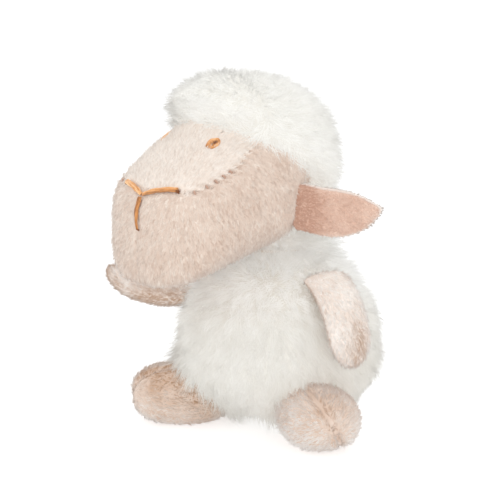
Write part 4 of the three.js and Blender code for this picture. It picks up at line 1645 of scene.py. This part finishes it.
# arms
limbPile = dict(
    minkyPile,
    count=13000,
    length=1.35,
    width=0.095,
    lean=62,
    perTuft=8,
    tuftTurn=0.28,
    strandTurn=0.22,
    tuftShade=0.1,
    tipShade=0.25,
    ownNormal=2.2,
    aheadNormal=1.6,
)


# A region that leaves nothing out.
def everywhere(points, normals):
    return np.ones(len(points))


# The two nodes that a limb's cover stands for.
def halvesOf(limb):
    return [limb + "_outer", limb + "_inner"]


for name, seed in (("left", 31), ("right", 32)):
    part = armParts[name]
    title = name.capitalize()
    skin = skinMesh("arm" + title + "Cover", part["form"], 0.1, rings=60, sides=48, shade=0.6)
    finishPiece(skin, "limbPlush", "arm_" + name, halvesOf("arm_" + name))
    look = dict(limbPile, shadeAt=part["shadeAt"])
    piece = pileMesh("arm" + title + "Pile", part["form"], everywhere, part["flow"], look, seed)
    finishPiece(piece, "limbPlush", "arm_" + name)
print("arms done")

# feet


# A foot: a rounded box, (length^p + width^p + height^p)^(-1/p) in every direction, pressed flat on
# the floor and drawn in along its seam.
def footForm(side):
    toe = math.radians(feet["toe"])
    forward = np.array([side * math.sin(toe), -math.cos(toe), 0])
    beside = np.array([math.cos(toe), side * math.sin(toe), 0])
    centre = footMiddle(side)
    roll = math.radians(feet["seamRoll"]) * side
    outward = side * beside
    seam = outward * math.cos(roll) + np.cross(forward, outward) * math.sin(roll)

    def surface(directions, grow):
        unit = unitOf(directions)
        power = feet["power"]
        total = (
            (np.abs(unit @ forward) / (feet["length"] / 2)) ** power
            + (np.abs(unit @ beside) / (feet["width"] / 2)) ** power
            + (np.abs(unit[:, 2]) / (feet["height"] / 2)) ** power
        )
        crease = feet["creaseDepth"] * np.exp(-((unit @ seam / feet["creaseShare"]) ** 2))
        upAndOut = np.maximum(0, (unit @ outward + unit[:, 2]) / math.sqrt(2))
        shoulder = feet["shoulder"] * upAndOut**3
        reach = total ** (-1 / power) + grow - crease - shoulder
        points = centre + unit * reach[:, None]
        points[:, 2] = np.maximum(points[:, 2], trunk["floorClear"])
        return points

    def flow(points, normals):
        fromSeam = 0.6 * np.sign((points - centre) @ seam)[:, None]
        return np.tile(-forward + [0, 0, 0.2], (len(points), 1)) + fromSeam * seam

    # Browner towards the ankle and on top, and paler below, with painted shade in the crease. The left
    # foot is also paler on its inner side.
    def shadeAt(points, normals):
        offset = points - centre
        low = smooth(-points[:, 2], -11, -2)
        top = smooth(normals[:, 2], 0.1, 0.9)
        back = smooth(-offset @ forward, -14, 8)
        inner = smooth(-offset @ outward, 0, 8) * (side > 0)
        crease = np.exp(-((offset @ seam / feet["creaseShadeWidth"]) ** 2))
        return 0.02 + 0.4 * low + 0.28 * inner - 0.4 * back - 0.28 * top - 0.9 * crease

    # Off the seam and off the sole.
    def away(points, normals):
        seen = np.abs((points - centre) @ seam) > feet["creaseClear"]
        return (seen & (normals[:, 2] > -0.93)).astype(float)

    form = {"surface": surface, "place": asTheyAre, "turn": asTheyAre}
    return form, flow, away, shadeAt


for name, side, seed in (("left", 1, 41), ("right", -1, 42)):
    form, flow, away, shadeAt = footForm(side)
    title = name.capitalize()
    skin = skinMesh("foot" + title + "Cover", form, 0.1, rings=90, sides=120)
    finishPiece(skin, "limbPlush", "leg_" + name, halvesOf("leg_" + name))
    look = dict(limbPile, count=17000, shadeAt=shadeAt)
    piece = pileMesh("foot" + title + "Pile", form, away, flow, look, seed)
    finishPiece(piece, "limbPlush", "leg_" + name)
print("feet done")

# inside: each piece that no cover shows keeps its form and takes a cloth or a fibre of its own
stuffed = ("body", "head", "arm_left", "arm_right", "leg_left", "leg_right")
insides = {part + "_stuffing": "fibreFilling" for part in stuffed}
insides["seat_pellet_bag"] = "pelletBag"
for name, material in insides.items():
    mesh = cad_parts[name].data
    mesh.materials.clear()
    mesh.materials.append(materials[material])
    tint = mesh.attributes.new("shade", "FLOAT", "POINT")
    tint.data.foreach_set("value", np.full(len(mesh.vertices), 0.5, np.float32))
print("insides done")
